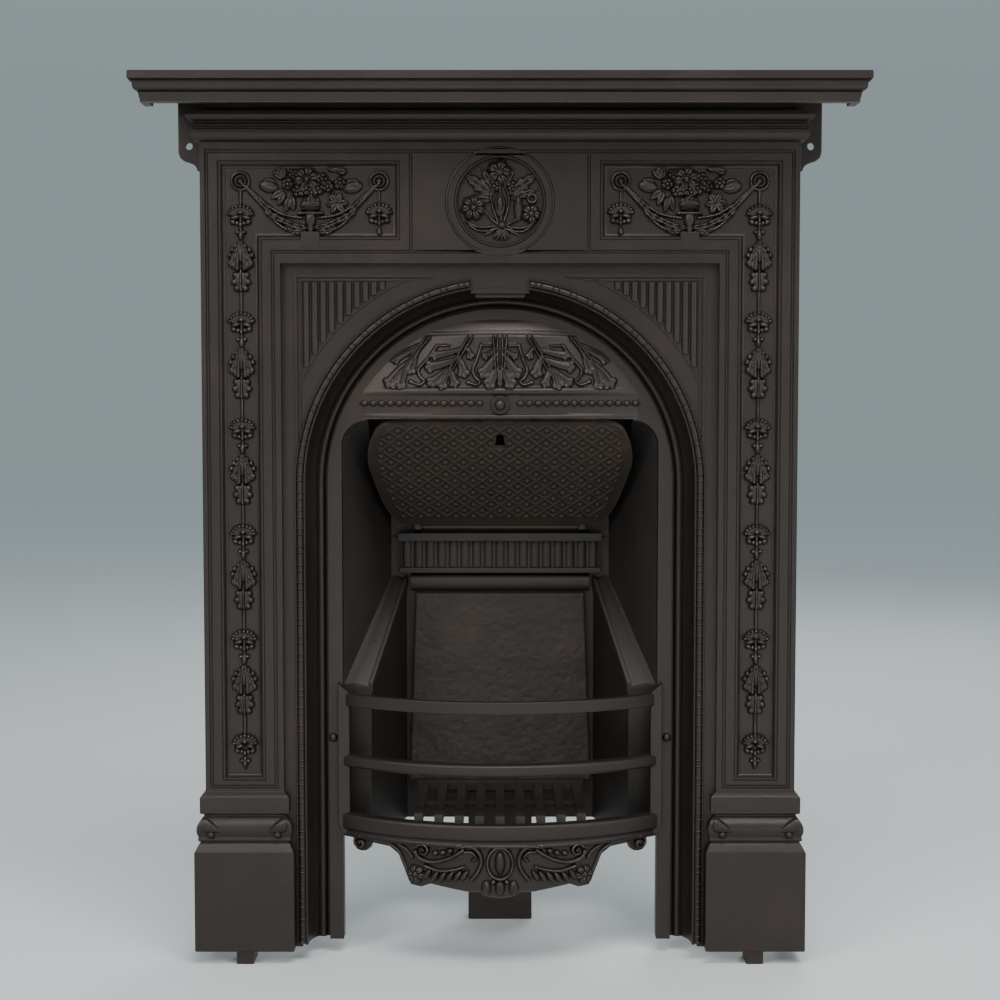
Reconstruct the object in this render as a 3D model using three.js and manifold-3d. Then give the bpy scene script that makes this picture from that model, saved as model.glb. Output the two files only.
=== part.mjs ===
// A cast iron combination fireplace: shelf, arched surround, hooded insert, damper flap and fire basket.
// Millimetres, +Z up, front towards -Y. The origin is on the floor, midway along the back of the surround.
import * as THREE from "three";
import { mergeVertices } from "three/addons/utils/BufferGeometryUtils.js";
import Module from "manifold-3d";

const wasm = await Module();
wasm.setup();

// Overall sizes and the main planes from front to back
const HEIGHT = 1170;
const SHELF_FRONT_Y = -160;
const FACE_Y = -65;
const WALL_Y = 0;
const REAR_Y = 160;
const GAP = 0.3;
const CAST_WALL = 8;

// Mantel shelf
const SHELF_HALF = 469;
const SHELF_THICK = 38;
const SHELF_PLATE = 12;
const SHELF_BOTTOM = HEIGHT - SHELF_THICK;
const SHELF_SKIRT = 24;
const SHELF_RETURN = 50;

// Surround: outline, sunk panels and recessed field
const BODY_HALF = 394;
const PLINTH_BOTTOM = 18;
const CORNICE_BOTTOM = 1093;
const FIELD_HALF = 289;
const FIELD_TOP = 935;
const FIELD_Y = FACE_Y + 10;
const PANEL_Y = FACE_Y + 8;
const HOLLOW_Y = FACE_Y + 18;
const PANEL_MOULDING = 10;
const PANEL_TOP = 1069;
const PANEL_OUTER = 371;
const PANEL_INNER = 313;
const PANEL_BOTTOM = 247;
const CORNER_BOTTOM = 965;
const CORNER_INNER = 131;
const PILASTER_X = 341.5;
const LINE_WIDTH = 2;
const LINE_DEPTH = 1.5;
const MEDALLION_Z = 1016;
const MEDALLION_RADIUS = 57;
const MEDALLION_Y = FACE_Y + 6;
const URN_X = 249.5;

// Arch
const SPRING_Z = 645;
const ARCH_STEPS = 16;
const BEAD_OUTER = 273;
const BEAD_INNER = 259;
const COVE_INNER = 247;
const COVE_Y = FACE_Y + 46;
const ARCH_INNER = 236;
const ARCH_LIP_Y = FACE_Y + 54;
const SPANDREL_RADIUS = 299;
const REED_PITCH = 11.2;
const REED_TOP = 911;
const REED_START = 262;
const KEYSTONE_HALF = 39;
const KEYSTONE_FOOT = 896;
const KEYSTONE_TOP = 921;

// Insert: inner frame and hood
const FRAME_Y = FACE_Y + 38;
const FRAME_BACK_Y = FACE_Y + 62;
const FRAME_OUTER = 232;
const FRAME_FLANGE = 250;
const OPENING_HALF = 213;
const OPENING_TOP = 728;
const OPENING_CORNER = 34;
const HOOD_RADIUS = 224;
const HOOD_HALF = 190;
const HOOD_TOP = 864;
const HOOD_LIP = 730;
const HOOD_THICK = 7;
const BOSS_Z = 749;

// Fire basket: cheeks, back, grate and flap
const CHEEK_FRONT_Y = FRAME_BACK_Y + GAP;
const BACK_PLATE_Y = FACE_Y + 200;
const CHEEK_BOTTOM = 150;
const RIM_FRONT_Z = 366;
const RIM_BACK_Z = 500;
const BACK_TOP = 565;
const FLUE_BACK_HALF = 200;
const FLUE_BACK_TOP = 745;
const BOW_HALF = 208;
const BOW_END_Y = FACE_Y + 32;
const BOW_SAGITTA = 72;
const BOW_RADIUS = (BOW_HALF ** 2 + BOW_SAGITTA ** 2) / (2 * BOW_SAGITTA);
const BOW_CENTRE_Y = BOW_END_Y - BOW_SAGITTA + BOW_RADIUS;
const BOW_STEPS = 12;
const RAIL_TOP = 197;
const GRATE_Z = RAIL_TOP + GAP;
const STILE_IN = 203;
const STILE_OUT = 219;
const HINGE_Y = FACE_Y + 188;
const HINGE_Z = 574;
const FLAP_TILT = Math.PI / 4;
const FLAP_LENGTH = 218;
const QUILT_STEP = 15;

// Cast iron finishes seen in the photo
const METALNESS = 0.85;
const iron = (color, roughness) => new THREE.MeshStandardMaterial({ color, roughness, metalness: METALNESS });

// A geometry with its seams closed, done before it is moved so that shared corners stay shared
function weld(geometry) {
  geometry.deleteAttribute("normal");
  geometry.deleteAttribute("uv");
  return mergeVertices(geometry, 1e-4);
}

// Solids: a closed geometry becomes a boolean solid, and back
function solid(geometry) {
  const triVerts = new Uint32Array(geometry.index.array);
  const vertProperties = new Float32Array(geometry.attributes.position.array);
  return new wasm.Manifold(new wasm.Mesh({ numProp: 3, vertProperties, triVerts }));
}

function join(solids) {
  if (solids.length === 1) return solids[0];
  const half = Math.ceil(solids.length / 2);
  return join(solids.slice(0, half)).add(join(solids.slice(half)));
}

const joinAll = (geometries) => join(geometries.map(solid));

function mesh(name, body, material) {
  const data = body.getMesh();
  const geometry = new THREE.BufferGeometry();
  geometry.setAttribute("position", new THREE.BufferAttribute(new Float32Array(data.vertProperties), 3));
  geometry.setIndex(new THREE.BufferAttribute(new Uint32Array(data.triVerts), 1));
  geometry.computeVertexNormals();
  const node = new THREE.Mesh(geometry, material);
  node.name = name;
  return node;
}

// A closed solid through rings of points, each ring with the same count; flat() shows a ring from its end
function loft(rings, flat) {
  const count = rings[0].length;
  const counterClockwise = THREE.ShapeUtils.area(rings[0].map(flat)) > 0;
  const ordered = rings.map((ring) => (counterClockwise ? ring : [...ring].reverse()));
  const positions = ordered.flat().flatMap((point) => point.toArray());
  const faces = [];
  for (let ring = 0; ring + 1 < ordered.length; ring++) {
    for (let i = 0; i < count; i++) {
      const a = ring * count + i;
      const b = ring * count + ((i + 1) % count);
      faces.push([a, b, b + count], [a, b + count, a + count]);
    }
  }
  const last = (ordered.length - 1) * count;
  const endView = ordered.at(-1).map(flat);
  const sameTurn = THREE.ShapeUtils.area(endView) > 0;
  for (const [a, b, c] of THREE.ShapeUtils.triangulateShape(ordered[0].map(flat), [])) faces.push([c, b, a]);
  for (const face of THREE.ShapeUtils.triangulateShape(endView, [])) {
    const [a, b, c] = sameTurn ? face : [...face].reverse();
    faces.push([last + a, last + b, last + c]);
  }
  const corner = (i) => new THREE.Vector3().fromArray(positions, i * 3);
  const volume = faces.reduce((sum, [a, b, c]) => sum + corner(a).dot(corner(b).cross(corner(c))), 0);
  const index = faces.flatMap(([a, b, c]) => (volume > 0 ? [a, b, c] : [c, b, a]));
  const geometry = new THREE.BufferGeometry();
  geometry.setAttribute("position", new THREE.Float32BufferAttribute(positions, 3));
  geometry.setIndex(index);
  return geometry;
}

const fromAbove = (point) => new THREE.Vector2(point.x, point.y);
const fromFront = (point) => new THREE.Vector2(point.x, point.z);
const fromSide = (point) => new THREE.Vector2(point.y, point.z);

function box(x0, x1, y0, y1, z0, z1) {
  const geometry = weld(new THREE.BoxGeometry(x1 - x0, y1 - y0, z1 - z0));
  return geometry.translate((x0 + x1) / 2, (y0 + y1) / 2, (z0 + z1) / 2);
}

// A flat shape drawn from the front, made thick between two planes
function plate(shape, frontY, backY, curveSegments = 6) {
  const settings = { depth: backY - frontY, bevelEnabled: false, curveSegments };
  const geometry = weld(new THREE.ExtrudeGeometry(shape, settings));
  return geometry.rotateX(Math.PI / 2).translate(0, backY, 0);
}

const polygon = (points) => new THREE.Shape(points.map(([x, z]) => new THREE.Vector2(x, z)));

// Mouldings round three sides of a block: each profile point is [projection, height]
function moulded(x0, x1, frontY, backY, profile) {
  const ring = ([out, z]) => [
    new THREE.Vector3(x0 - out, frontY - out, z),
    new THREE.Vector3(x1 + out, frontY - out, z),
    new THREE.Vector3(x1 + out, backY, z),
    new THREE.Vector3(x0 - out, backY, z),
  ];
  return loft(profile.map(ring), fromAbove);
}

// Points of a curve between two profile points, bulging by a share of their distance
function curveBetween([x0, z0], [x1, z1], bulge, steps = 4) {
  const points = [];
  for (let i = 1; i < steps; i++) {
    const t = i / steps;
    const push = bulge * 4 * t * (1 - t);
    points.push([x0 + (x1 - x0) * t + (z0 - z1) * push, z0 + (z1 - z0) * t + (x1 - x0) * push]);
  }
  return points;
}

// An arch outline: straight sides below the spring line and a half circle above
function archRing(radius, y, bottom = -20, steps = ARCH_STEPS) {
  const ring = [new THREE.Vector3(-radius, y, bottom), new THREE.Vector3(radius, y, bottom)];
  for (let i = 0; i <= steps; i++) {
    const angle = (Math.PI * i) / steps;
    ring.push(new THREE.Vector3(radius * Math.cos(angle), y, SPRING_Z + radius * Math.sin(angle)));
  }
  return ring;
}

const archSolid = (profile, bottom) => loft(profile.map(([r, y]) => archRing(r, y, bottom)), fromFront);

// A moulding of closed profile [radius, y] run up one jamb, round the arch and down the other
function archMoulding(profile, bottom) {
  const stations = [profile.map(([r, y]) => new THREE.Vector3(r, y, bottom))];
  for (let i = 0; i <= ARCH_STEPS; i++) {
    const angle = (Math.PI * i) / ARCH_STEPS;
    const [across, up] = [Math.cos(angle), Math.sin(angle)];
    stations.push(profile.map(([r, y]) => new THREE.Vector3(r * across, y, SPRING_Z + r * up)));
  }
  stations.push(profile.map(([r, y]) => new THREE.Vector3(-r, y, bottom)));
  return loft(stations, fromAbove);
}

// Corners of an outline moved inwards by a distance, for a mitred moulding
function inset(points, distance) {
  return points.map(([x, z], i) => {
    const [px, pz] = points.at(i - 1);
    const [nx, nz] = points[(i + 1) % points.length];
    const before = new THREE.Vector2(x - px, z - pz).normalize();
    const after = new THREE.Vector2(nx - x, nz - z).normalize();
    const turn = 1 + before.dot(after);
    const shiftX = (-(before.y + after.y) * distance) / turn;
    const shiftZ = ((before.x + after.x) * distance) / turn;
    return [x + shiftX, z + shiftZ];
  });
}

// Relief forms lie in the X-Z plane and rise towards -Y from a ground at y = 0
const ROOT = 2;

function dome(width, length, rise, around = 6, up = 4) {
  return weld(new THREE.SphereGeometry(1, around, up)).scale(width / 2, rise, length / 2);
}

function lobe(width, length, rise) {
  const cone = weld(new THREE.ConeGeometry(1, rise + ROOT, 4, 1)).rotateX(Math.PI);
  return cone.translate(0, (ROOT - rise) / 2, 0).scale(width / 2, 1, length / 2);
}

// A round bar of the given length along Y
const rod = (radius, length, sides) => weld(new THREE.CylinderGeometry(radius, radius, length, sides));

function disc(radius, rise, sides = 10) {
  return rod(radius, rise + ROOT, sides).translate(0, (ROOT - rise) / 2, 0);
}

function rib(x0, z0, x1, z1, width, rise) {
  const length = Math.hypot(x1 - x0, z1 - z0);
  const bar = box(-width / 2, width / 2, -rise, ROOT, -length / 2, length / 2);
  bar.rotateY(Math.atan2(x1 - x0, z1 - z0));
  return bar.translate((x0 + x1) / 2, 0, (z0 + z1) / 2);
}

const turned = (geometry, angle, x, z) => geometry.rotateY(angle).translate(x, 0, z);

// A pointed boss whose rim is drawn by reach(angle); angle 0 is up and grows towards +X
function boss(sides, rise, reach) {
  const cone = weld(new THREE.ConeGeometry(1, rise + ROOT, sides, 1)).rotateX(Math.PI);
  const at = cone.translate(0, (ROOT - rise) / 2, 0).attributes.position;
  for (let i = 0; i < at.count; i++) {
    const [x, z] = [at.getX(i), at.getZ(i)];
    const [width, length] = reach(Math.atan2(x, z));
    at.setX(i, x * width);
    at.setZ(i, z * length);
  }
  return cone;
}

// A lobe whose foot is at (x, z) and that points along an angle measured clockwise from straight up
function leaf(x, z, angle, width, length, rise) {
  return turned(lobe(width, length, rise).translate(0, 0, length * 0.45), angle, x, z);
}

// A cut leaf: its rim swings in and out once for each lobe
function lobedLeaf(x, z, angle, width, length, rise, lobes = 5) {
  const swing = (turn) => 0.84 + 0.16 * Math.cos(turn * lobes);
  const form = boss(lobes * 2, rise, (turn) => [(width / 2) * swing(turn), (length / 2) * swing(turn)]);
  return turned(form, angle, x, z);
}

function flower(x, z, radius, rise, petals = 5) {
  const eye = dome(radius * 0.8, radius * 0.8, rise + 1.5, 5, 3).translate(x, 0, z);
  return [lobedLeaf(x, z, 0, radius * 2, radius * 2, rise, petals), eye];
}

function patera(x, z) {
  return [disc(13, 3, 8).translate(x, 0, z), lobe(14, 14, 6).translate(x, 0, z)];
}

// One step of the husk drops down a pilaster: a scalloped cap, a bead and a leafy husk
const DROP_PITCH = 140;
const DROP_TOP = 1003;
const DROP_COUNT = 6;

function flowerCap(x, z) {
  const dip = (turn) => (Math.abs(turn) > 1.8 ? 0.75 + 0.25 * Math.cos(turn * 5) : 1);
  return boss(10, 6, (turn) => [15.5, 12 * dip(turn)]).translate(x, 0, z);
}

function pilasterDrop(x) {
  const forms = patera(x, 1043);
  for (let i = 0; i < DROP_COUNT; i++) {
    const z = DROP_TOP - i * DROP_PITCH;
    forms.push(flowerCap(x, z), lobe(9, 11, 4.5).translate(x, 0, z - 30));
    if (i + 1 < DROP_COUNT) {
      forms.push(leaf(x, z - 40, Math.PI, 28, 36, 6), lobedLeaf(x, z - 86, 0, 27, 38, 6, 5));
    }
  }
  return forms;
}

// A swag of leaves hung between two points, growing thicker towards its low end
function swag(x0, z0, x1, z1, count) {
  const curve = new THREE.QuadraticBezierCurve(
    new THREE.Vector2(x0, z0),
    new THREE.Vector2(x0 * 0.45 + x1 * 0.55, z1 - 4),
    new THREE.Vector2(x1, z1),
  );
  const leaves = [];
  for (let i = 0; i < count; i++) {
    const t = i / (count - 1);
    const at = curve.getPoint(t);
    const along = curve.getTangent(t);
    const size = 0.6 + 0.7 * t;
    leaves.push(turned(lobe(13 * size, 34, 4 + 2 * t), Math.atan2(along.x, along.y), at.x, at.y));
  }
  return leaves;
}

// A basket of flowers on a stem; the same group stands in both corner panels
function urn(x) {
  const profile = [[0, 0], [10, 0], [4.5, 14], [4.5, 20], [14, 27], [12.5, 36], [14, 52], [0, 53]];
  const vase = weld(new THREE.LatheGeometry(profile.map(([r, h]) => new THREE.Vector2(r, h)), 6));
  vase.rotateX(Math.PI / 2).scale(1, 0.55, 1).translate(x, 0, 977);
  return [
    vase,
    ...flower(x - 4, 1049, 16, 7),
    lobedLeaf(x - 37, 1021, 0.4, 24, 26, 6, 5),
    lobe(19, 22, 6).translate(x - 39, 0, 1056),
    lobedLeaf(x + 37, 1057, 0.5, 26, 22, 6, 3),
    lobedLeaf(x - 54, 1036, 0, 25, 16, 6, 4),
    lobedLeaf(x + 55, 1034, 0, 25, 17, 6, 4),
    lobedLeaf(x + 38, 1016, 0.3, 26, 26, 6, 5),
    lobe(20, 20, 6).translate(x + 20, 0, 1040),
    lobe(22, 20, 6).translate(x - 22, 0, 1036),
  ];
}

function cornerPanel(side) {
  const innerPatera = side * 159;
  return [
    ...urn(side * URN_X),
    ...patera(innerPatera, 1043),
    flowerCap(innerPatera, 1006),
    lobe(9, 13, 4.5).translate(innerPatera, 0, 977),
    ...swag(side * 336, 1034, side * 262, 980, 3),
    ...swag(side * 172, 1022, side * 238, 980, 3),
  ];
}

function bouquet() {
  const z = MEDALLION_Z;
  return [
    ...flower(-2, z + 38, 17, 7),
    ...flower(-34, z - 8, 17, 7),
    ...flower(40, z - 16, 14, 6),
    lobedLeaf(-28, z + 27, -0.9, 26, 40, 6, 5),
    lobedLeaf(30, z + 24, 0.8, 24, 38, 6, 5),
    lobe(12, 30, 6).translate(0, 0, z - 3),
    lobe(13, 36, 6).translate(22, 0, z - 8),
    lobe(13, 10, 6).translate(2, 0, z - 33),
    lobedLeaf(0, z - 44, 0, 40, 18, 4, 5),
  ];
}

const onGround = (forms, y) => forms.map((form) => form.translate(0, y, 0));

// Mantel shelf: a plate with an ogee edge turned down along the front and a little way back at both ends
function mantelShelf() {
  const rise = (share) => SHELF_BOTTOM + SHELF_THICK * share;
  const ogee = [[-14, rise(0)], [-11, rise(0.33)]];
  const edge = [
    ...ogee,
    ...curveBetween(ogee[1], [-4, rise(0.6)], -0.2),
    ...curveBetween([-4, rise(0.6)], [0, rise(0.76)], 0.2),
    [0, rise(0.76)],
    [0, HEIGHT - 2],
    [-2, HEIGHT],
  ];
  const shell = moulded(-SHELF_HALF, SHELF_HALF, SHELF_FRONT_Y, WALL_Y, edge);
  const inner = SHELF_HALF - SHELF_SKIRT;
  const underside = HEIGHT - SHELF_PLATE;
  const hollow = box(-inner, inner, SHELF_FRONT_Y + SHELF_SKIRT, WALL_Y + 1, SHELF_BOTTOM - 1, underside);
  const endY = SHELF_FRONT_Y + SHELF_RETURN;
  const openEnds = box(-SHELF_HALF - 1, SHELF_HALF + 1, endY, WALL_Y + 2, SHELF_BOTTOM - 2, underside);
  return solid(shell).subtract(joinAll([hollow, openEnds]));
}

// Cornice under the shelf, carried up inside it to the underside of the plate
function cornice() {
  const profile = [
    [0, CORNICE_BOTTOM],
    ...curveBetween([0, CORNICE_BOTTOM], [11, 1104], -0.2, 3),
    [11, 1104], [11, 1109], [7, 1109.5], [7, 1112], [9.5, 1112.5], [9.5, 1116], [6, 1116.5], [6, 1119],
    [11, 1119.5],
    ...curveBetween([11, 1119.5], [16, SHELF_BOTTOM - 2], -0.2),
    [16, SHELF_BOTTOM - 2],
    [16, SHELF_BOTTOM - GAP],
  ];
  const neckTop = HEIGHT - SHELF_PLATE;
  return [
    moulded(-BODY_HALF, BODY_HALF, FACE_Y, WALL_Y, profile),
    box(-BODY_HALF + 4, BODY_HALF - 4, FACE_Y + 2, WALL_Y, SHELF_BOTTOM - CAST_WALL, neckTop),
  ];
}

// Moulded base and plinth of a pilaster, from the top down
function pilasterBase(side) {
  const torus = [[5, 199], [9, 172]];
  const profile = [
    [0, 233], [7, 225], [7, 203], [4, 202], [4, 199.5], torus[0],
    ...curveBetween(torus[0], torus[1], 0.28),
    torus[1], [9, 167], [6.5, 166], [6.5, 164], [8, 163], [14, 152], [14, PLINTH_BOTTOM],
  ];
  const [x0, x1] = side < 0 ? [-BODY_HALF, -FIELD_HALF] : [FIELD_HALF, BODY_HALF];
  const forms = [moulded(x0, x1, FACE_Y, WALL_Y, profile)];
  for (const corner of [x0 + 7, x1 - 7]) {
    const lean = corner === x0 + 7 ? 0.5 : -0.5;
    forms.push(leaf(corner + lean * 6, 176, lean, 17, 24, 5).translate(0, FACE_Y - 9, 0));
    forms.push(lobe(8, 8, 4).translate(corner + lean * 5, FACE_Y - 10, 177));
  }
  const tabX = side * PILASTER_X;
  forms.push(box(tabX - 11.5, tabX + 11.5, FACE_Y - 10, FACE_Y + 30, 0, PLINTH_BOTTOM + 12));
  return forms;
}

function fixingLug(side) {
  const shape = new THREE.Shape();
  const top = HEIGHT - SHELF_PLATE - GAP;
  shape.moveTo(BODY_HALF - 4, top);
  shape.lineTo(431.5, top);
  shape.lineTo(431.5, 1089);
  shape.bezierCurveTo(431, 1075, 408, 1080, 406, 1062);
  shape.lineTo(BODY_HALF - 4, 1060);
  const hole = [];
  for (let i = 0; i < 10; i++) {
    const angle = (2 * Math.PI * i) / 10;
    hole.push(new THREE.Vector2(417 + 4.7 * Math.cos(angle), 1095 + 4.7 * Math.sin(angle)));
  }
  shape.holes.push(new THREE.Path(hole));
  const lug = plate(shape, WALL_Y - CAST_WALL, WALL_Y, 5);
  return side > 0 ? lug : lug.rotateZ(Math.PI).translate(0, WALL_Y * 2 - CAST_WALL, 0);
}

// The sunk panel of a pilaster and its frieze corner, one bent outline
function sunkPanel(side) {
  const outline = [
    [-PANEL_OUTER, PANEL_BOTTOM], [-PANEL_INNER, PANEL_BOTTOM], [-PANEL_INNER, CORNER_BOTTOM],
    [-CORNER_INNER, CORNER_BOTTOM], [-CORNER_INNER, PANEL_TOP], [-PANEL_OUTER, PANEL_TOP],
  ];
  const levels = [
    [0, FACE_Y - 5], [0, FACE_Y + 2.5], [3, FACE_Y + 2.5], [5, FACE_Y + 3.5], [PANEL_MOULDING, PANEL_Y],
  ];
  const place = (y) => ([x, z]) => new THREE.Vector3(-side * x, y, z);
  const ring = ([distance, y]) => inset(outline, distance).map(place(y));
  return loft(levels.map(ring), fromFront);
}

// Incised lines on the frieze and pilaster frames
function incisedLines() {
  const deep = FACE_Y + LINE_DEPTH;
  const upright = (x, z0, z1) => box(x - LINE_WIDTH / 2, x + LINE_WIDTH / 2, FACE_Y - 1, deep, z0, z1);
  const level = (x0, x1, z) => box(x0, x1, FACE_Y - 1, deep - 0.3, z - LINE_WIDTH / 2, z + LINE_WIDTH / 2);
  const lines = [level(-385, 385, 1081), level(-298, 298, 950)];
  for (const side of [-1, 1]) {
    const [near, far] = side < 0 ? [-385, -299] : [299, 385];
    lines.push(upright(side * 385, 239.5, 1080.5), upright(side * 299, 239.5, 950.5), level(near, far, 239));
    lines.push(upright(side * 117, 950, 1081));
  }
  return joinAll(lines);
}

// Vertical reeds and their border, kept outside the plain ring of the arch
function spandrels() {
  const forms = [];
  for (const side of [-1, 1]) {
    for (let i = 0; i < 10; i++) {
      const x = side * (REED_START - REED_PITCH * (i + 0.5));
      const foot = SPRING_Z + Math.sqrt(SPANDREL_RADIUS ** 2 - x ** 2) - 25;
      const reed = rod(5.2, REED_TOP - foot, 6).rotateX(Math.PI / 2);
      forms.push(reed.translate(x, FIELD_Y + 1, (REED_TOP + foot) / 2));
    }
    const [edgeNear, edgeFar] = side < 0 ? [-272, -268] : [268, 272];
    forms.push(box(edgeNear, edgeFar, FIELD_Y - 2.5, FIELD_Y + 2, 760, 921));
    const [near, far] = side < 0 ? [-272, -60] : [60, 272];
    forms.push(box(near, far, FIELD_Y - 2.5, FIELD_Y + 2, 917, 921));
  }
  const clear = archSolid([[SPANDREL_RADIUS, FACE_Y - 20], [SPANDREL_RADIUS, WALL_Y]], 100);
  return joinAll(forms).subtract(solid(clear));
}

// The hollow behind the surround leaves a cast wall all round
function surroundHollow() {
  const side = BODY_HALF - CAST_WALL;
  const body = box(-side, side, HOLLOW_Y, WALL_Y + 1, -1, HEIGHT - SHELF_PLATE - CAST_WALL);
  const bases = [-1, 1].flatMap((sign) => {
    const [x0, x1] = sign < 0 ? [-BODY_HALF, -FIELD_HALF] : [FIELD_HALF, BODY_HALF];
    return [
      box(x0 - 4, x1 + 2, FACE_Y + 2, WALL_Y + 1.5, -2, 150),
      box(x0 - 1, x1 + 1, FACE_Y + 6, WALL_Y + 2, 140, 215),
    ];
  });
  return joinAll([body, ...bases]);
}

// The arch from the outside in: fillet, bead roll, fillet, cove and inner roll, with a plain back
function archProfile() {
  const roll = [[COVE_INNER, COVE_Y], [ARCH_INNER, COVE_Y]];
  return [
    [BEAD_OUTER, FIELD_Y + 4], [BEAD_OUTER, FACE_Y + 4.5], [BEAD_OUTER - 2.5, FACE_Y + 4],
    [BEAD_OUTER - 3, FACE_Y + 7], [BEAD_OUTER - 5, FACE_Y + 3.5], [BEAD_INNER + 6, FACE_Y + 3.5],
    [BEAD_INNER + 4, FACE_Y + 7], [BEAD_INNER + 3.5, FACE_Y + 4], [BEAD_INNER, FACE_Y + 4.5],
    ...curveBetween([BEAD_INNER, FACE_Y + 8], roll[0], -0.08, 3),
    roll[0],
    ...curveBetween(roll[0], roll[1], 0.3, 3),
    roll[1], [ARCH_INNER, ARCH_LIP_Y], [BEAD_INNER + CAST_WALL, ARCH_LIP_Y],
    [BEAD_INNER + CAST_WALL, FIELD_Y + 4],
  ];
}

function surround() {
  const slab = solid(box(-BODY_HALF, BODY_HALF, FACE_Y, WALL_Y, PLINTH_BOTTOM, CORNICE_BOTTOM + 4));
  const field = solid(box(-FIELD_HALF, FIELD_HALF, FACE_Y - 5, FIELD_Y, -1, FIELD_TOP));
  const well = solid(rod(MEDALLION_RADIUS, 20, 24).translate(0, MEDALLION_Y - 10, MEDALLION_Z));
  const panels = join([solid(sunkPanel(-1)), solid(sunkPanel(1))]);
  const cuts = join([field, panels, well, incisedLines()]);
  const pedestal = (x) => box(x - 13, x + 13, FACE_Y, HOLLOW_Y, 955, 979);
  const pedestals = [pedestal(-URN_X), pedestal(URN_X)];
  const blocks = [
    ...cornice(), ...pilasterBase(-1), ...pilasterBase(1), fixingLug(-1), fixingLug(1), ...pedestals,
  ];
  const arch = solid(archMoulding(archProfile(), PLINTH_BOTTOM + 4));
  const doorway = solid(archSolid([[BEAD_INNER + 10, FACE_Y - 30], [BEAD_INNER + 10, WALL_Y + 5]]));
  const mouldings = join([slab.subtract(cuts), joinAll(blocks), spandrels()]);
  const shell = mouldings.subtract(doorway).subtract(surroundHollow()).add(arch);
  const panelRelief = [-1, 1].flatMap((side) => [...pilasterDrop(side * PILASTER_X), ...cornerPanel(side)]);
  const relief = joinAll([...onGround(panelRelief, PANEL_Y), ...onGround(bouquet(), MEDALLION_Y)]);
  const tabletY = FIELD_Y - 0.6;
  const keystone = (y0, y1) => solid(box(-KEYSTONE_HALF, KEYSTONE_HALF, y0, y1, KEYSTONE_FOOT, KEYSTONE_TOP));
  return shell.add(relief).subtract(keystone(FACE_Y - 5, tabletY)).add(keystone(tabletY, ARCH_LIP_Y));
}

// Height of the hood's front: half width, and how far it stands forward at the middle
const hoodHalf = (z) => Math.min(HOOD_HALF, Math.sqrt(HOOD_RADIUS ** 2 - (z - SPRING_Z) ** 2));

const HOOD_PROFILE = [
  [HOOD_LIP, 28], [737, 25], [747, 25], [751, 28], [755, 25], [762, 25],
  [765, 29], [771, 28], [773, 24], [840, 14], [852, 9], [HOOD_TOP, 0],
];

function hoodForward(z) {
  const above = Math.max(1, HOOD_PROFILE.findIndex(([level]) => level >= Math.min(z, HOOD_TOP)));
  const [z0, out0] = HOOD_PROFILE[above - 1];
  const [z1, out1] = HOOD_PROFILE[above];
  return out0 + ((out1 - out0) * (z - z0)) / (z1 - z0);
}

const HOOD_SEAT = 1.5;
const hoodY = (x, z) => FRAME_Y + HOOD_SEAT - hoodForward(z) * (1 - (x / hoodHalf(z)) ** 2);

// Relief laid over a curved plate, with its underside sunk well into the metal
const DRAPE_ROOT = 2.5;

function drape(forms, surfaceY) {
  for (const form of forms) {
    const at = form.attributes.position;
    for (let i = 0; i < at.count; i++) {
      const root = at.getY(i) > 0 ? DRAPE_ROOT : 0;
      at.setY(i, at.getY(i) + root + surfaceY(at.getX(i), at.getZ(i)));
    }
  }
  return forms;
}

function hoodShell(columns = 8) {
  const rings = HOOD_PROFILE.map(([z]) => {
    const front = [];
    for (let i = 0; i <= columns; i++) {
      const x = ((2 * i) / columns - 1) * hoodHalf(z);
      front.push(new THREE.Vector3(x, hoodY(x, z), z));
    }
    const back = front.map((point) => new THREE.Vector3(point.x, point.y + HOOD_THICK, z)).reverse();
    return [...front, ...back];
  });
  return loft(rings, fromAbove);
}

// Five acanthus leaves fan out over the hood, with curled stems between them
function acanthus() {
  const forms = [];
  for (const place of [-2, -1, 0, 1, 2]) {
    const lean = place * -0.3;
    forms.push(lobedLeaf(place * 55, 806, lean, 42, 64, 6, 6));
    forms.push(leaf(place * 57, 781, lean, 13, 56, 11));
  }
  for (const place of [-1.5, -0.5, 0.5, 1.5]) {
    const foot = place * 58;
    forms.push(rib(foot, 782, foot - place * 12, 826, 4, 4), lobe(13, 11, 4).translate(foot, 0, 780));
  }
  return forms;
}

// The round boss in the middle of the lip
const hoodBoss = () => [disc(12.5, 5, 10), dome(15, 15, 9, 6, 3)].map((form) => form.translate(0, 0, BOSS_Z));

function hoodPlate() {
  const flangeY = ARCH_LIP_Y + GAP;
  const frame = archSolid([
    [FRAME_FLANGE, FRAME_BACK_Y], [FRAME_FLANGE, flangeY], [FRAME_OUTER, flangeY], [FRAME_OUTER, FRAME_Y],
  ], PLINTH_BOTTOM + 1);
  const corner = OPENING_HALF - OPENING_CORNER;
  const opening = new THREE.Shape();
  opening.moveTo(-OPENING_HALF, -5);
  opening.lineTo(OPENING_HALF, -5);
  opening.absarc(corner, OPENING_TOP - OPENING_CORNER, OPENING_CORNER, 0, Math.PI / 2, false);
  opening.lineTo(171, 743.5);
  const innerRadius = HOOD_RADIUS - 15;
  const start = Math.asin((743.5 - SPRING_Z) / innerRadius);
  opening.absarc(0, SPRING_Z, innerRadius, start, Math.PI - start, false);
  opening.lineTo(-171, 743.5);
  opening.absarc(-corner, OPENING_TOP - OPENING_CORNER, OPENING_CORNER, Math.PI / 2, Math.PI, false);
  const cut = plate(opening, FACE_Y - 20, WALL_Y + 20, 12);
  const relief = joinAll(drape([...acanthus(), ...hoodBoss()], hoodY));
  return solid(frame).subtract(solid(cut)).add(solid(hoodShell())).add(relief);
}

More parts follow.
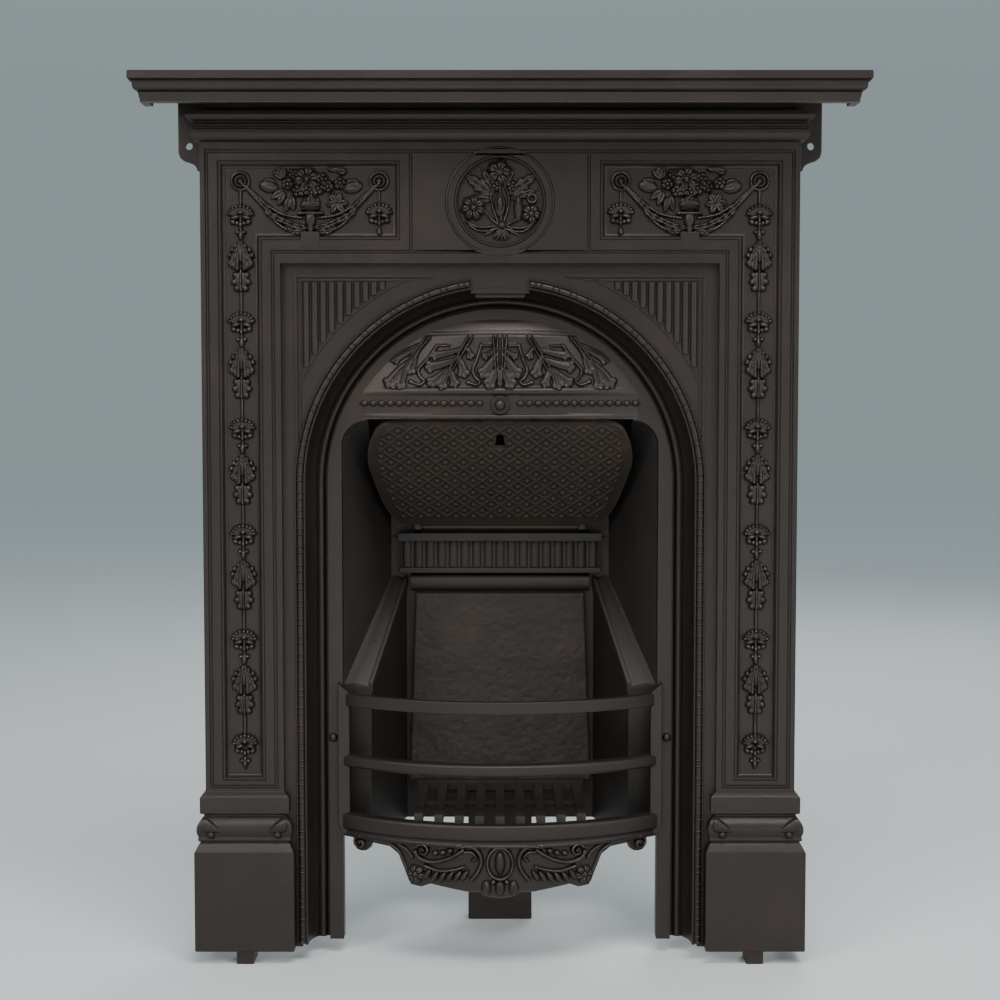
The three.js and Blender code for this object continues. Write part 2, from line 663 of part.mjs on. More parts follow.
// Damper flap, drawn upright with its pivot at the origin, then leant forward
const FLAP_FOOT = 8;
const FLAP_THICK = 7;

const flapOutline = () => [
  [142, FLAP_FOOT], [162, 48], [178, 117], [181, 140], [179, 165], [170, 194], [156, 211], [120, FLAP_LENGTH],
];

// A pad of shallow pyramids on a square grid: peaks and valleys alternate, and inside(x, z) picks the squares
function quilt(halfWidth, z0, z1, low, high, inside) {
  const columns = 2 * Math.ceil(halfWidth / QUILT_STEP);
  const rows = Math.ceil((z1 - z0) / QUILT_STEP);
  const place = (i, j) => [(i - columns / 2) * QUILT_STEP, z0 + j * QUILT_STEP];
  const corners = (i, j) => [[i, j], [i + 1, j], [i + 1, j + 1], [i, j + 1]];
  const within = (i, j) => corners(i, j).every(([column, row]) => inside(...place(column, row)));
  const positions = [];
  const triangle = (...points) => positions.push(...points.flat());
  const front = ([i, j]) => {
    const [x, z] = place(i, j);
    return [x, (i + j) % 2 === 0 ? -high : -low, z];
  };
  const back = ([i, j]) => {
    const [x, z] = place(i, j);
    return [x, 1, z];
  };
  for (let j = 0; j < rows; j++) {
    for (let i = 0; i < columns; i++) {
      if (!within(i, j)) continue;
      const square = corners(i, j);
      const [a, b, c, d] = (i + j) % 2 === 0 ? [square[1], square[2], square[3], square[0]] : square;
      triangle(front(a), front(b), front(c));
      triangle(front(a), front(c), front(d));
      triangle(back(a), back(c), back(b));
      triangle(back(a), back(d), back(c));
      const beyond = [[i, j - 1], [i + 1, j], [i, j + 1], [i - 1, j]];
      for (let edge = 0; edge < 4; edge++) {
        if (within(...beyond[edge])) continue;
        const [from, to] = [square[edge], square[(edge + 1) % 4]];
        triangle(front(from), back(from), back(to));
        triangle(front(from), back(to), front(to));
      }
    }
  }
  const geometry = new THREE.BufferGeometry();
  geometry.setAttribute("position", new THREE.Float32BufferAttribute(positions, 3));
  return weld(geometry);
}

function damperFlap() {
  const front = -FLAP_THICK / 2;
  const leaned = (geometry) => solid(geometry.rotateX(FLAP_TILT).translate(0, HINGE_Y, HINGE_Z));
  const keyhole = new THREE.Shape();
  keyhole.moveTo(-8.8, 166);
  keyhole.lineTo(8.8, 166);
  keyhole.lineTo(4.4, 184);
  keyhole.absarc(0, 188, 6, -0.7, Math.PI + 0.7, false);
  const outline = flapOutline();
  const mirrored = outline.map(([x, z]) => [-x, z]).reverse();
  const reach = (z) => {
    const above = outline.findIndex(([, level]) => level >= z);
    const [x0, z0] = outline[above - 1];
    const [x1, z1] = outline[above];
    return x0 + ((x1 - x0) * (z - z0)) / (z1 - z0);
  };
  const [fieldFoot, fieldTop] = [FLAP_FOOT + 15, FLAP_LENGTH - 8];
  const inside = (x, z) => z >= fieldFoot && z <= fieldTop && Math.abs(x) < reach(z) - 9;
  const pad = leaned(quilt(178, fieldFoot, fieldTop, 0.2, 2.6, inside).translate(0, front, 0));
  const body = leaned(plate(polygon([...outline, ...mirrored]), front, -front)).add(pad);
  const barrel = rod(5, 220, 10).rotateZ(Math.PI / 2);
  const pins = rod(3, 243, 8).rotateZ(Math.PI / 2);
  const web = box(-110, 110, -3, 3, 0, FLAP_FOOT + 2);
  const pivot = join([leaned(barrel), leaned(pins), leaned(web)]);
  return body.subtract(leaned(plate(keyhole, front - 8, 8 - front, 6))).add(pivot);
}

// Back of the basket: fluted throat ledge, moulding, pivot cradles and rear foot, and a back plate that widens
// behind the flap into the plain back of the flue
function basketBack() {
  const bandY = FACE_Y + 190;
  const half = 142;
  const forms = [
    box(-163, 163, BACK_PLATE_Y, BACK_PLATE_Y + 10, CHEEK_BOTTOM, BACK_TOP - 6),
    box(-FLUE_BACK_HALF, FLUE_BACK_HALF, BACK_PLATE_Y, BACK_PLATE_Y + 10, BACK_TOP - 7, FLUE_BACK_TOP),
    box(-half, half, bandY, BACK_PLATE_Y + 10, 510, BACK_TOP - 12),
    box(-half - 4, half + 4, bandY - 12, BACK_PLATE_Y + 10, BACK_TOP - 12, BACK_TOP),
    box(-half - 2, half + 2, bandY - 5, BACK_PLATE_Y + 1, 507, 515),
    box(-46, 46, BACK_PLATE_Y - 2, REAR_Y, 0, 188),
    box(-46, 46, BACK_PLATE_Y + 2, REAR_Y, 183, 240),
  ];
  const moulding = rod(13, 256, 12).rotateZ(Math.PI / 2);
  forms.push(moulding.translate(0, BACK_PLATE_Y + 1, 493));
  for (let i = 0; i < 18; i++) {
    const x = (i - 8.5) * 16;
    forms.push(rod(7.5, 37, 4).rotateX(Math.PI / 2).translate(x, bandY + 2, 534.5));
  }
  for (const side of [-1, 1]) {
    const x = side * 117;
    forms.push(box(x - 4.5, x + 4.5, HINGE_Y - 6, HINGE_Y + 6, BACK_TOP - 5, HINGE_Z + 3));
    const lugX = side * 70;
    forms.push(box(lugX - 7, lugX + 7, FACE_Y + 178, BACK_PLATE_Y + 5, GRATE_Z - 12, GRATE_Z - GAP));
  }
  const slot = (x) => box(x - 6, x + 6, HINGE_Y - 3.6, HINGE_Y + 3.6, HINGE_Z - 3.6, HINGE_Z + 26);
  return joinAll(forms).subtract(joinAll([slot(-117), slot(117)]));
}

// A slab that widens downwards, rough on the fire side
function firebackSlab() {
  const shape = polygon([[-131, 206], [131, 206], [121, 478], [-121, 478]]);
  return solid(plate(shape, BACK_PLATE_Y - 14, BACK_PLATE_Y - GAP));
}

// A cheek: inner fire plate, raked rim on top of it, and the plain side wall above
const CHEEK_RUN = BACK_PLATE_Y - GAP - CHEEK_FRONT_Y;
const CHEEK_INNER = [176, 134];
const CHEEK_OUTER = [213, 156];

function cheek(side) {
  const share = (y) => (y - CHEEK_FRONT_Y) / CHEEK_RUN;
  const along = ([front, back], y) => side * (front + (back - front) * share(y));
  const rimZ = (y) => RIM_FRONT_Z + (RIM_BACK_Z - RIM_FRONT_Z) * share(y);
  const [front, back] = [CHEEK_FRONT_Y, CHEEK_FRONT_Y + CHEEK_RUN];
  const slice = (y, line, near, far, bottom, top) => [
    new THREE.Vector3(along(line, y) + side * near, y, bottom(y)),
    new THREE.Vector3(along(line, y) + side * far, y, bottom(y)),
    new THREE.Vector3(along(line, y) + side * far, y, top(y)),
    new THREE.Vector3(along(line, y) + side * near, y, top(y)),
  ];
  const floor = () => CHEEK_BOTTOM;
  const firePlate = [front, back].map((y) => slice(y, CHEEK_INNER, 0, 11, floor, (at) => rimZ(at) - 8));
  const under = (at) => rimZ(at) - 12;
  const lip = [front, back].map((y) => slice(y, CHEEK_INNER, -2, 4, under, (at) => rimZ(at) + 3));
  const rim = [front, back].map((y) => {
    const [x0, x1] = [along(CHEEK_INNER, y), along(CHEEK_OUTER, y) + side * 4];
    const section = [[0, -14], [1, -14], [1, 0], [0.6, 3], [0.25, 0], [0, -4]];
    return section.map(([across, rise]) => new THREE.Vector3(x0 + (x1 - x0) * across, y, rimZ(y) + rise));
  });
  const wallTop = [[front, 738], [66, 738], [74, 690], [79, 668], [100, 638], [115, 614], [back, 598]];
  const wall = wallTop.map(([y, top]) => slice(y, CHEEK_OUTER, 0, CAST_WALL, under, () => top));
  const [endNear, endFar] = side < 0 ? [-212, -176] : [176, 212];
  const endPlate = box(endNear, endFar, front, front + 8, 166, 356);
  return joinAll([firePlate, lip, rim, wall].map((rings) => loft(rings, fromFront))).add(solid(endPlate));
}

// Grate front: bars and apron follow one bow
const bowPoint = (angle, out, z) => {
  const radius = BOW_RADIUS + out;
  return new THREE.Vector3(radius * Math.sin(angle), BOW_CENTRE_Y - radius * Math.cos(angle), z);
};
const BOW_ANGLE = Math.asin(BOW_HALF / BOW_RADIUS);
const bowY = (x) => BOW_CENTRE_Y - Math.sqrt(BOW_RADIUS ** 2 - x ** 2);

function bowedBar(profile, reach = 1, steps = BOW_STEPS) {
  const rings = [];
  for (let i = 0; i <= steps; i++) {
    const angle = BOW_ANGLE * reach * ((2 * i) / steps - 1);
    rings.push(profile(BOW_RADIUS * Math.sin(angle)).map(([out, z]) => bowPoint(angle, out, z)));
  }
  return loft(rings, fromSide);
}

// Lower edge of the apron: pendant, scalloped leaf, corner flower and a rising end
function apronFoot(x) {
  const shape = [
    [0, 99], [22, 101], [26, 107], [45, 107], [92, 115], [104, 110], [118, 112],
    [125, 130], [133, 150], [147, 160], [172, 162], [200, 158],
  ];
  const far = shape.findIndex(([reach]) => reach >= Math.abs(x));
  if (far <= 0) return far === 0 ? shape[0][1] : shape.at(-1)[1];
  const [x0, z0] = shape[far - 1];
  const [x1, z1] = shape[far];
  return z0 + ((z1 - z0) * (Math.abs(x) - x0)) / (x1 - x0);
}

function apronRelief() {
  const forms = [dome(33, 46, 4, 8).translate(0, 0, 149), dome(17, 31, 9, 8).translate(0, 0, 148.4)];
  for (const x of [-15, 0, 15]) forms.push(lobe(14, 24, 6).translate(x, 0, 112));
  for (const side of [-1, 1]) {
    const at = (x) => side * x;
    forms.push(
      leaf(at(26), 168, Math.PI - side * 0.15, 12, 50, 5), lobe(18, 15, 5).translate(at(44), 0, 158),
      leaf(at(58), 158, side * 2, 12, 44, 5), disc(9, 4, 8).translate(at(104), 0, 154),
      lobedLeaf(at(112), 122, 0, 22, 22, 6), disc(11.5, 5, 8).translate(at(186), 0, 160),
      lobedLeaf(at(64), 126, side * 1.4, 26, 60, 5, 5),
    );
  }
  return forms;
}

function grateFront() {
  const flat = (half, z0, z1) => () => [[-half, z0], [half, z0], [half, z1], [-half, z1]];
  const round = (half, z0, z1) => () => [
    [-half, z0], [half - 3, z0], [half, z0 + 5], [half, z1 - 5], [half - 3, z1], [-half, z1],
  ];
  const apron = (x) => [[-4, apronFoot(x)], [4, apronFoot(x)], [4, 176], [-4, 176]];
  const forms = [
    bowedBar(flat(5, 343, 360)),
    bowedBar(round(7, 260, 277)),
    bowedBar(round(8, 173, RAIL_TOP)),
    bowedBar(flat(7, 166, 175), 0.97),
    bowedBar(apron, 0.94, 22),
    ...drape(apronRelief(), (x) => bowY(x) - 4),
  ];
  for (const side of [-1, 1]) {
    const stile = polygon([
      [STILE_IN, 360], [STILE_OUT, 374], [STILE_OUT, 182], [STILE_OUT - 6, 166], [STILE_IN, 166],
    ]);
    const [postFront, postBack] = [FACE_Y + 26, FRAME_Y - GAP];
    const post = plate(stile, postFront, postBack);
    forms.push(side > 0 ? post : post.rotateZ(Math.PI).translate(0, postFront + postBack, 0));
  }
  return joinAll(forms);
}

// Loose grate: a back bar with bars running forward to the bottom rail
function bottomGrate() {
  const backY = BACK_PLATE_Y - 16;
  const top = GRATE_Z + 11;
  const forms = [
    box(-118, 118, backY - 12, backY, GRATE_Z - GAP / 2, top + 1),
    box(-112, 112, -12, 0, GRATE_Z + 1, top - 2),
  ];
  for (let i = -4; i <= 4; i++) {
    const x = i * 27;
    forms.push(box(x - 6, x + 6, bowY(x) - 2, backY - 4, GRATE_Z, top));
  }
  return joinAll(forms);
}

function bolt(side) {
  const profile = [[0, 0], [6, 0], [6, 2], [3.5, 5], [0, 5.6]].map(([r, h]) => new THREE.Vector2(r, h));
  const head = weld(new THREE.LatheGeometry(profile, 8)).rotateX(Math.PI);
  return solid(head.translate(side * 226, FRAME_Y - GAP, 298));
}

const blackLead = 0x37322f;
const sooty = 0x1f1b19;

const fireplace = new THREE.Group();
fireplace.add(
  mesh("mantel_shelf", mantelShelf(), iron(0x3b3633, 0.42)),
  mesh("surround", surround(), iron(blackLead, 0.45)),
  mesh("hood_plate", hoodPlate(), iron(0x413c39, 0.4)),
  mesh("damper_flap", damperFlap(), iron(0x3a302b, 0.55)),
  mesh("basket_back", basketBack(), iron(sooty, 0.6)),
  mesh("fireback_slab", firebackSlab(), iron(0x2b221d, 0.85)),
  mesh("left_cheek", cheek(-1), iron(sooty, 0.6)),
  mesh("right_cheek", cheek(1), iron(sooty, 0.6)),
  mesh("grate_front", grateFront(), iron(0x403b37, 0.42)),
  mesh("bottom_grate", bottomGrate(), iron(sooty, 0.7)),
  mesh("left_bolt", bolt(-1), iron(blackLead, 0.4)),
  mesh("right_bolt", bolt(1), iron(blackLead, 0.4)),
);

export default fireplace;
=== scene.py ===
# %% [markdown]
# A cast iron combination fireplace, dressed for rendering.
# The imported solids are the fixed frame; every piece below is rebuilt finely in that frame, in millimetres,
# and turned into metres when its mesh is made.

# %% Load the frame
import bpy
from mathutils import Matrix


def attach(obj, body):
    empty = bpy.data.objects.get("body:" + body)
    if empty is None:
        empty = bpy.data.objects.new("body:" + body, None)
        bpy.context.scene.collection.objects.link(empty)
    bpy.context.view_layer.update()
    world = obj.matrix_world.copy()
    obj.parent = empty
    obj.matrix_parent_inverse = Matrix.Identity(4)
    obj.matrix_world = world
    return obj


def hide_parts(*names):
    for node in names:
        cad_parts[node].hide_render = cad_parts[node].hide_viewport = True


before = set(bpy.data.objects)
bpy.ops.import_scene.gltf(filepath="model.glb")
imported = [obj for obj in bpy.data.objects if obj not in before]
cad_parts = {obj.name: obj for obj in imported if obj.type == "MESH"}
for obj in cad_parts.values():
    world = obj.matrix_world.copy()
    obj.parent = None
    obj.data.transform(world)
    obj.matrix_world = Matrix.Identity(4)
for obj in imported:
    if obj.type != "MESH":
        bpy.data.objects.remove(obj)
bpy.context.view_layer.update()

import math
import bmesh
import bpy
import numpy as np
from mathutils import Vector, noise
from mathutils.geometry import tessellate_polygon

MM = 0.001

# %% [markdown]
# The photograph was taken square on with a longish lens, from a little above the middle of the fireplace.
# The camera repeats that view: distance and lens together set the perspective of the shelf and the basket.
# Large soft boxes light it from the front and from above, and one behind it keeps the back readable.

# %% Camera, light and floor
CAMERA_DISTANCE = 2.465
CAMERA_HEIGHT = 0.770
CAMERA_PITCH = 3.5
SENSOR = 36.0
FOCAL_PIXELS = 1814.0
IMAGE_PIXELS = 1000.0
FLOOR_HALF = 14.0
FLOOR_GREY = (0.66, 0.71, 0.73, 1.0)
FLOOR_ROUGHNESS = 0.7
SOFTBOX_WARMTH = (1.0, 0.96, 0.92)
HORIZON_GREY = (0.262, 0.322, 0.334, 1.0)
ZENITH_GREY = (0.385, 0.440, 0.455, 1.0)
HORIZON_END = 0.16
ZENITH_START = 0.6


def add_camera():
    data = bpy.data.cameras.new("photo_camera")
    data.sensor_width = SENSOR
    data.lens = SENSOR * FOCAL_PIXELS / IMAGE_PIXELS
    data.dof.use_dof = False
    camera = bpy.data.objects.new("photo_camera", data)
    camera.location = (0.0, -CAMERA_DISTANCE, CAMERA_HEIGHT)
    camera.rotation_euler = (math.radians(90.0 - CAMERA_PITCH), 0.0, 0.0)
    bpy.context.scene.collection.objects.link(camera)
    bpy.context.scene.camera = camera
    return camera


def add_softbox(name, place, target, width, height, watts):
    data = bpy.data.lights.new(name, "AREA")
    data.color = SOFTBOX_WARMTH
    data.shape = "RECTANGLE"
    data.size = width
    data.size_y = height
    data.energy = watts
    light = bpy.data.objects.new(name, data)
    light.location = place
    light.rotation_euler = (Vector(target) - Vector(place)).to_track_quat("-Z", "Y").to_euler()
    bpy.context.scene.collection.objects.link(light)
    return light


def plain_material(name, colour, roughness):
    material = bpy.data.materials.new(name)
    material.use_nodes = True
    shader = material.node_tree.nodes["Principled BSDF"]
    shader.inputs["Base Color"].default_value = colour
    shader.inputs["Roughness"].default_value = roughness
    return material


def add_floor():
    mesh = bpy.data.meshes.new("studio_floor")
    half = FLOOR_HALF
    mesh.from_pydata([(-half, -half, 0), (half, -half, 0), (half, half, 0), (-half, half, 0)], [],
                     [(0, 1, 2, 3)])
    mesh.materials.append(plain_material("floor_paint", FLOOR_GREY, FLOOR_ROUGHNESS))
    floor = bpy.data.objects.new("studio_floor", mesh)
    bpy.context.scene.collection.objects.link(floor)


def add_studio_air():
    """An even grey all round, a little paler upwards, that meets the far floor without a line."""
    world = bpy.data.worlds.new("studio")
    world.use_nodes = True
    nodes = world.node_tree.nodes
    links = world.node_tree.links
    level = nodes.new("ShaderNodeSeparateXYZ")
    links.new(nodes.new("ShaderNodeTexCoord").outputs["Generated"], level.inputs["Vector"])
    ramp = nodes.new("ShaderNodeValToRGB")
    low, high = ramp.color_ramp.elements
    low.color, low.position = HORIZON_GREY, HORIZON_END
    high.color, high.position = ZENITH_GREY, ZENITH_START
    links.new(level.outputs["Z"], ramp.inputs["Fac"])
    links.new(ramp.outputs["Color"], nodes["Background"].inputs["Color"])
    bpy.context.scene.world = world


add_camera()
add_floor()
add_studio_air()
add_softbox("key_softbox", (-2.3, -3.0, 2.5), (0.0, 0.0, 0.50), 1.5, 1.5, 80.0)
add_softbox("fill_softbox", (2.6, -2.6, 1.5), (0.0, 0.0, 0.45), 1.4, 1.8, 40.0)
add_softbox("top_softbox", (0.4, -1.7, 3.2), (0.0, 0.0, 0.7), 2.0, 1.2, 85.0)
add_softbox("low_bounce", (0.0, -2.7, 0.12), (0.0, 0.0, 1.0), 2.6, 0.5, 14.0)
add_softbox("rear_softbox", (1.3, 3.0, 2.9), (0.0, 0.0, 0.5), 1.6, 1.2, 45.0)
print("camera lens", bpy.context.scene.camera.data.lens)

# %% [markdown]
# Black-leaded iron is a grey casting rubbed with graphite polish: a brownish black with a soft sheen, paler
# where brushes rub the carving and a highlight is painted on its raised edges, darker and duller in its
# hollows
# from grime and painted shade, and faintly reddish in clouds. Three effects are shared, so each is a node
# group:
# the casting's grain, the rubbed edges with their painted highlight and the painted hollow shade, and a
# blotchy stain.

# %% Shared shader groups


def shader_group(name, inputs, outputs):
    """A new node group with named sockets; returns the tree with its input and output nodes."""
    tree = bpy.data.node_groups.new(name, "ShaderNodeTree")
    for label, kind, default in inputs:
        socket = tree.interface.new_socket(name=label, in_out="INPUT", socket_type=kind)
        socket.default_value = default
    for label, kind in outputs:
        tree.interface.new_socket(name=label, in_out="OUTPUT", socket_type=kind)
    return tree, tree.nodes.new("NodeGroupInput"), tree.nodes.new("NodeGroupOutput")


def math_node(tree, operation, first, second=None, clamp=False):
    node = tree.nodes.new("ShaderNodeMath")
    node.operation = operation
    node.use_clamp = clamp
    for place, value in enumerate((first, second)):
        if value is None:
            continue
        if isinstance(value, (int, float)):
            node.inputs[place].default_value = value
        else:
            tree.links.new(value, node.inputs[place])
    return node.outputs[0]


def noise_node(tree, scale, detail, vector, roughness=0.55):
    node = tree.nodes.new("ShaderNodeTexNoise")
    node.inputs["Detail"].default_value = detail
    node.inputs["Roughness"].default_value = roughness
    if isinstance(scale, (int, float)):
        node.inputs["Scale"].default_value = scale
    else:
        tree.links.new(scale, node.inputs["Scale"])
    tree.links.new(vector, node.inputs["Vector"])
    return node.outputs["Fac"]


def ramp_node(tree, value, low, high):
    node = tree.nodes.new("ShaderNodeMapRange")
    node.interpolation_type = "SMOOTHSTEP"
    node.inputs["From Min"].default_value = low
    node.inputs["From Max"].default_value = high
    tree.links.new(value, node.inputs["Value"])
    return node.outputs["Result"]


def casting_grain_group():
    tree, source, result = shader_group(
        "casting_grain",
        [("Vector", "NodeSocketVector", (0, 0, 0)), ("Grain Scale", "NodeSocketFloat", 900.0)],
        [("Height", "NodeSocketFloat"), ("Speck", "NodeSocketFloat")],
    )
    vector = source.outputs["Vector"]
    fine = noise_node(tree, source.outputs["Grain Scale"], 4.0, vector, 0.65)
    coarse = noise_node(tree, 140.0, 3.0, vector)
    tree.links.new(math_node(tree, "ADD", fine, math_node(tree, "MULTIPLY", coarse, 1.4)),
                   result.inputs["Height"])
    tree.links.new(ramp_node(tree, fine, 0.42, 0.68), result.inputs["Speck"])
    return tree


def wear_grime_and_painted_light_group():
    tree, source, result = shader_group(
        "wear_grime_and_painted_light",
        [("Vector", "NodeSocketVector", (0, 0, 0)), ("Reach", "NodeSocketFloat", 1.0)],
        [("Edge", "NodeSocketFloat"), ("Hollow", "NodeSocketFloat")],
    )
    pointiness = tree.nodes.new("ShaderNodeNewGeometry").outputs["Pointiness"]
    mark = tree.nodes.new("ShaderNodeAttribute")
    mark.attribute_name = "carved"
    carved = mark.outputs["Fac"]
    broken = ramp_node(tree, noise_node(tree, 60.0, 4.0, source.outputs["Vector"]), 0.3, 0.62)
    # Raised carved edges: a mask for rubbed wear plus a painted highlight.
    edge = ramp_node(tree, pointiness, 0.515, 0.60)
    worn_and_highlit = math_node(tree, "MULTIPLY", math_node(tree, "MULTIPLY", edge, broken), carved)
    wear_and_painted_light = math_node(tree, "MULTIPLY", worn_and_highlit, source.outputs["Reach"], True)
    tree.links.new(wear_and_painted_light, result.inputs["Edge"])
    # Carved hollows: a mask for painted shade in the creases, with some grime.
    hollow = math_node(tree, "SUBTRACT", 1.0, ramp_node(tree, pointiness, 0.40, 0.49))
    tree.links.new(math_node(tree, "MULTIPLY", hollow, carved), result.inputs["Hollow"])
    return tree


def heat_stain_group():
    tree, source, result = shader_group(
        "heat_stain",
        [("Vector", "NodeSocketVector", (0, 0, 0)), ("Patch Scale", "NodeSocketFloat", 9.0)],
        [("Stain", "NodeSocketFloat"), ("Cloud", "NodeSocketFloat")],
    )
    patches = noise_node(tree, source.outputs["Patch Scale"], 6.0, source.outputs["Vector"], 0.6)
    tree.links.new(ramp_node(tree, patches, 0.5, 0.72), result.inputs["Stain"])
    tree.links.new(patches, result.inputs["Cloud"])
    return tree


GRAIN = casting_grain_group()
WEAR_GRIME_AND_PAINTED_LIGHT = wear_grime_and_painted_light_group()
STAINED = heat_stain_group()
print("shader groups", GRAIN.name, WEAR_GRIME_AND_PAINTED_LIGHT.name, STAINED.name)

# %% [markdown]
# Each finish is one material: the three groups feed its colour, roughness and bump with their own values.
# What is the same all over, such as metallic and specular, is set on the shader itself.

# %% Iron finishes


def mix_colour(tree, factor, first, second):
    node = tree.nodes.new("ShaderNodeMix")
    node.data_type = "RGBA"
    tree.links.new(factor, node.inputs["Factor"])
    for socket, colour in ((node.inputs[6], first), (node.inputs[7], second)):
        if isinstance(colour, tuple):
            socket.default_value = (*colour, 1.0)
        else:
            tree.links.new(colour, socket)
    return node.outputs[2]


def group_node(tree, group, vector, **values):
    node = tree.nodes.new("ShaderNodeGroup")
    node.node_tree = group
    tree.links.new(vector, node.inputs["Vector"])
    for label, value in values.items():
        node.inputs[label.replace("_", " ")].default_value = value
    return node


def iron_finish(name, dark, pale, stain, edge, roughness, bump, grain=900.0, metallic=0.5, reach=1.0):
    material = bpy.data.materials.new(name)
    material.use_nodes = True
    tree = material.node_tree
    shader = tree.nodes["Principled BSDF"]
    shader.inputs["Metallic"].default_value = metallic
    shader.inputs["Specular IOR Level"].default_value = 0.45
    vector = tree.nodes.new("ShaderNodeTexCoord").outputs["Object"]
    grained = group_node(tree, GRAIN, vector, Grain_Scale=grain)
    wear_and_painted_light = group_node(tree, WEAR_GRIME_AND_PAINTED_LIGHT, vector, Reach=reach)
    stained = group_node(tree, STAINED, vector, Patch_Scale=8.0)
    body = mix_colour(tree, stained.outputs["Cloud"], dark, pale)
    specked = mix_colour(tree, math_node(tree, "MULTIPLY", grained.outputs["Speck"], 0.35), body, dark)
    warmed = mix_colour(tree, math_node(tree, "MULTIPLY", stained.outputs["Stain"], 0.55), specked, stain)
    # The carved hollows are painted near-black: painted shade plus some grime.
    grimed_and_shaded_hollows = mix_colour(tree, math_node(tree, "MULTIPLY", wear_and_painted_light.outputs["Hollow"], 0.85), warmed, SOOT_AND_SHADE)
    # The raised carved edges are painted pale: rubbed wear plus a painted highlight.
    tree.links.new(mix_colour(tree, wear_and_painted_light.outputs["Edge"], grimed_and_shaded_hollows, edge), shader.inputs["Base Color"])
    dull = math_node(tree, "MULTIPLY", wear_and_painted_light.outputs["Hollow"], 0.18)
    polish = math_node(tree, "MULTIPLY", wear_and_painted_light.outputs["Edge"], -0.12)
    clouds = math_node(tree, "MULTIPLY", stained.outputs["Cloud"], 0.16)
    rough = math_node(tree, "ADD", math_node(tree, "ADD", dull, polish),
                      math_node(tree, "ADD", clouds, roughness))
    tree.links.new(rough, shader.inputs["Roughness"])
    relief = tree.nodes.new("ShaderNodeBump")
    relief.inputs["Strength"].default_value = bump
    relief.inputs["Distance"].default_value = 0.0006
    tree.links.new(grained.outputs["Height"], relief.inputs["Height"])
    tree.links.new(relief.outputs["Normal"], shader.inputs["Normal"])
    return material


# Colour of the carved hollows: painted shade plus some grime.
SOOT_AND_SHADE = (0.006, 0.0048, 0.0042)
# The fourth colour of each finish paints its raised carved edges: rubbed wear plus a painted highlight.
BLACK_LEAD = iron_finish("black_lead", (0.021, 0.0165, 0.0148), (0.033, 0.0264, 0.0240),
                         (0.038, 0.026, 0.0215), (0.125, 0.112, 0.104), 0.31, 0.40)
FLAP_IRON = iron_finish("flap_iron", (0.028, 0.0205, 0.016), (0.050, 0.038, 0.030), (0.058, 0.034, 0.024),
                        (0.100, 0.078, 0.064), 0.44, 0.42)
SOOTY_IRON = iron_finish("sooty_iron", (0.014, 0.0112, 0.0100), (0.030, 0.0245, 0.022),
                         (0.030, 0.0205, 0.0165), (0.050, 0.044, 0.040), 0.46, 0.45, metallic=0.35)
BURNT_IRON = iron_finish("burnt_iron", (0.014, 0.0112, 0.0098), (0.030, 0.025, 0.022),
                         (0.040, 0.026, 0.020), (0.050, 0.044, 0.040), 0.62, 0.95, grain=420.0,
                         metallic=0.2)
print("finishes", BLACK_LEAD.name, FLAP_IRON.name, SOOTY_IRON.name, BURNT_IRON.name)


# %% [markdown]
# Most of the fireplace is castings with run mouldings, so a few small tools make nearly everything:
# a loft through rings, a plate with holes, mouldings run along a path with mitred corners, and a bevel.
# A Casting gathers such closed shells and becomes one mesh.

# %% Shell tools
BEVEL_ANGLE = math.radians(40.0)


class Casting:
    """Closed shells in millimetres that become one piece."""

    def __init__(self):
        self.points = []
        self.faces = []
        self.carved = []

    def add(self, shell, carved=False):
        points, faces = shell
        start = len(self.points)
        self.points.extend(tuple(float(value) for value in point) for point in points)
        self.faces.extend([tuple(corner + start for corner in face) for face in faces])
        self.carved.extend([float(carved)] * len(points))
        return self

    def make(self, name, material, smooth=32.0):
        """One mesh of all the shells, with carved points marked and flat faces kept flat by weighting."""
        mesh = bpy.data.meshes.new(name)
        mesh.from_pydata([(x * MM, y * MM, z * MM) for x, y, z in self.points], [], self.faces)
        mesh.attributes.new("carved", "FLOAT", "POINT").data.foreach_set("value", self.carved)
        work = bmesh.new()
        work.from_mesh(mesh)
        bmesh.ops.recalc_face_normals(work, faces=work.faces)
        work.to_mesh(mesh)
        work.free()
        mesh.materials.append(material)
        mesh.shade_smooth()
        mesh.set_sharp_from_angle(angle=math.radians(smooth))
        piece = bpy.data.objects.new(name, mesh)
        bpy.context.scene.collection.objects.link(piece)
        return piece if min(self.carved) > 0.0 else weighted(piece)


def weighted(piece):
    """The piece with its normals weighted by face area, kept as a plain mesh."""
    modifier = piece.modifiers.new("flat_faces", "WEIGHTED_NORMAL")
    modifier.keep_sharp = True
    graph = bpy.context.evaluated_depsgraph_get()
    source = piece.data
    made = piece.evaluated_get(graph)
    piece_mesh = bpy.data.meshes.new_from_object(made, preserve_all_data_layers=True, depsgraph=graph)
    piece.modifiers.remove(modifier)
    piece.data = piece_mesh
    bpy.data.meshes.remove(source)
    piece_mesh.name = piece.name
    return piece


def triangles_in(piece):
    return sum(len(face.vertices) - 2 for face in piece.data.polygons)


def dress(piece, body, slot, *nodes):
    """Ride on a body and stand for the nodes; the slot is not used."""
    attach(piece, body)
    if nodes:
        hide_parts(*nodes)
    print(piece.name, triangles_in(piece), "triangles")
    return piece


print("casting helpers ready")

# %% Lofts, bevels and plates


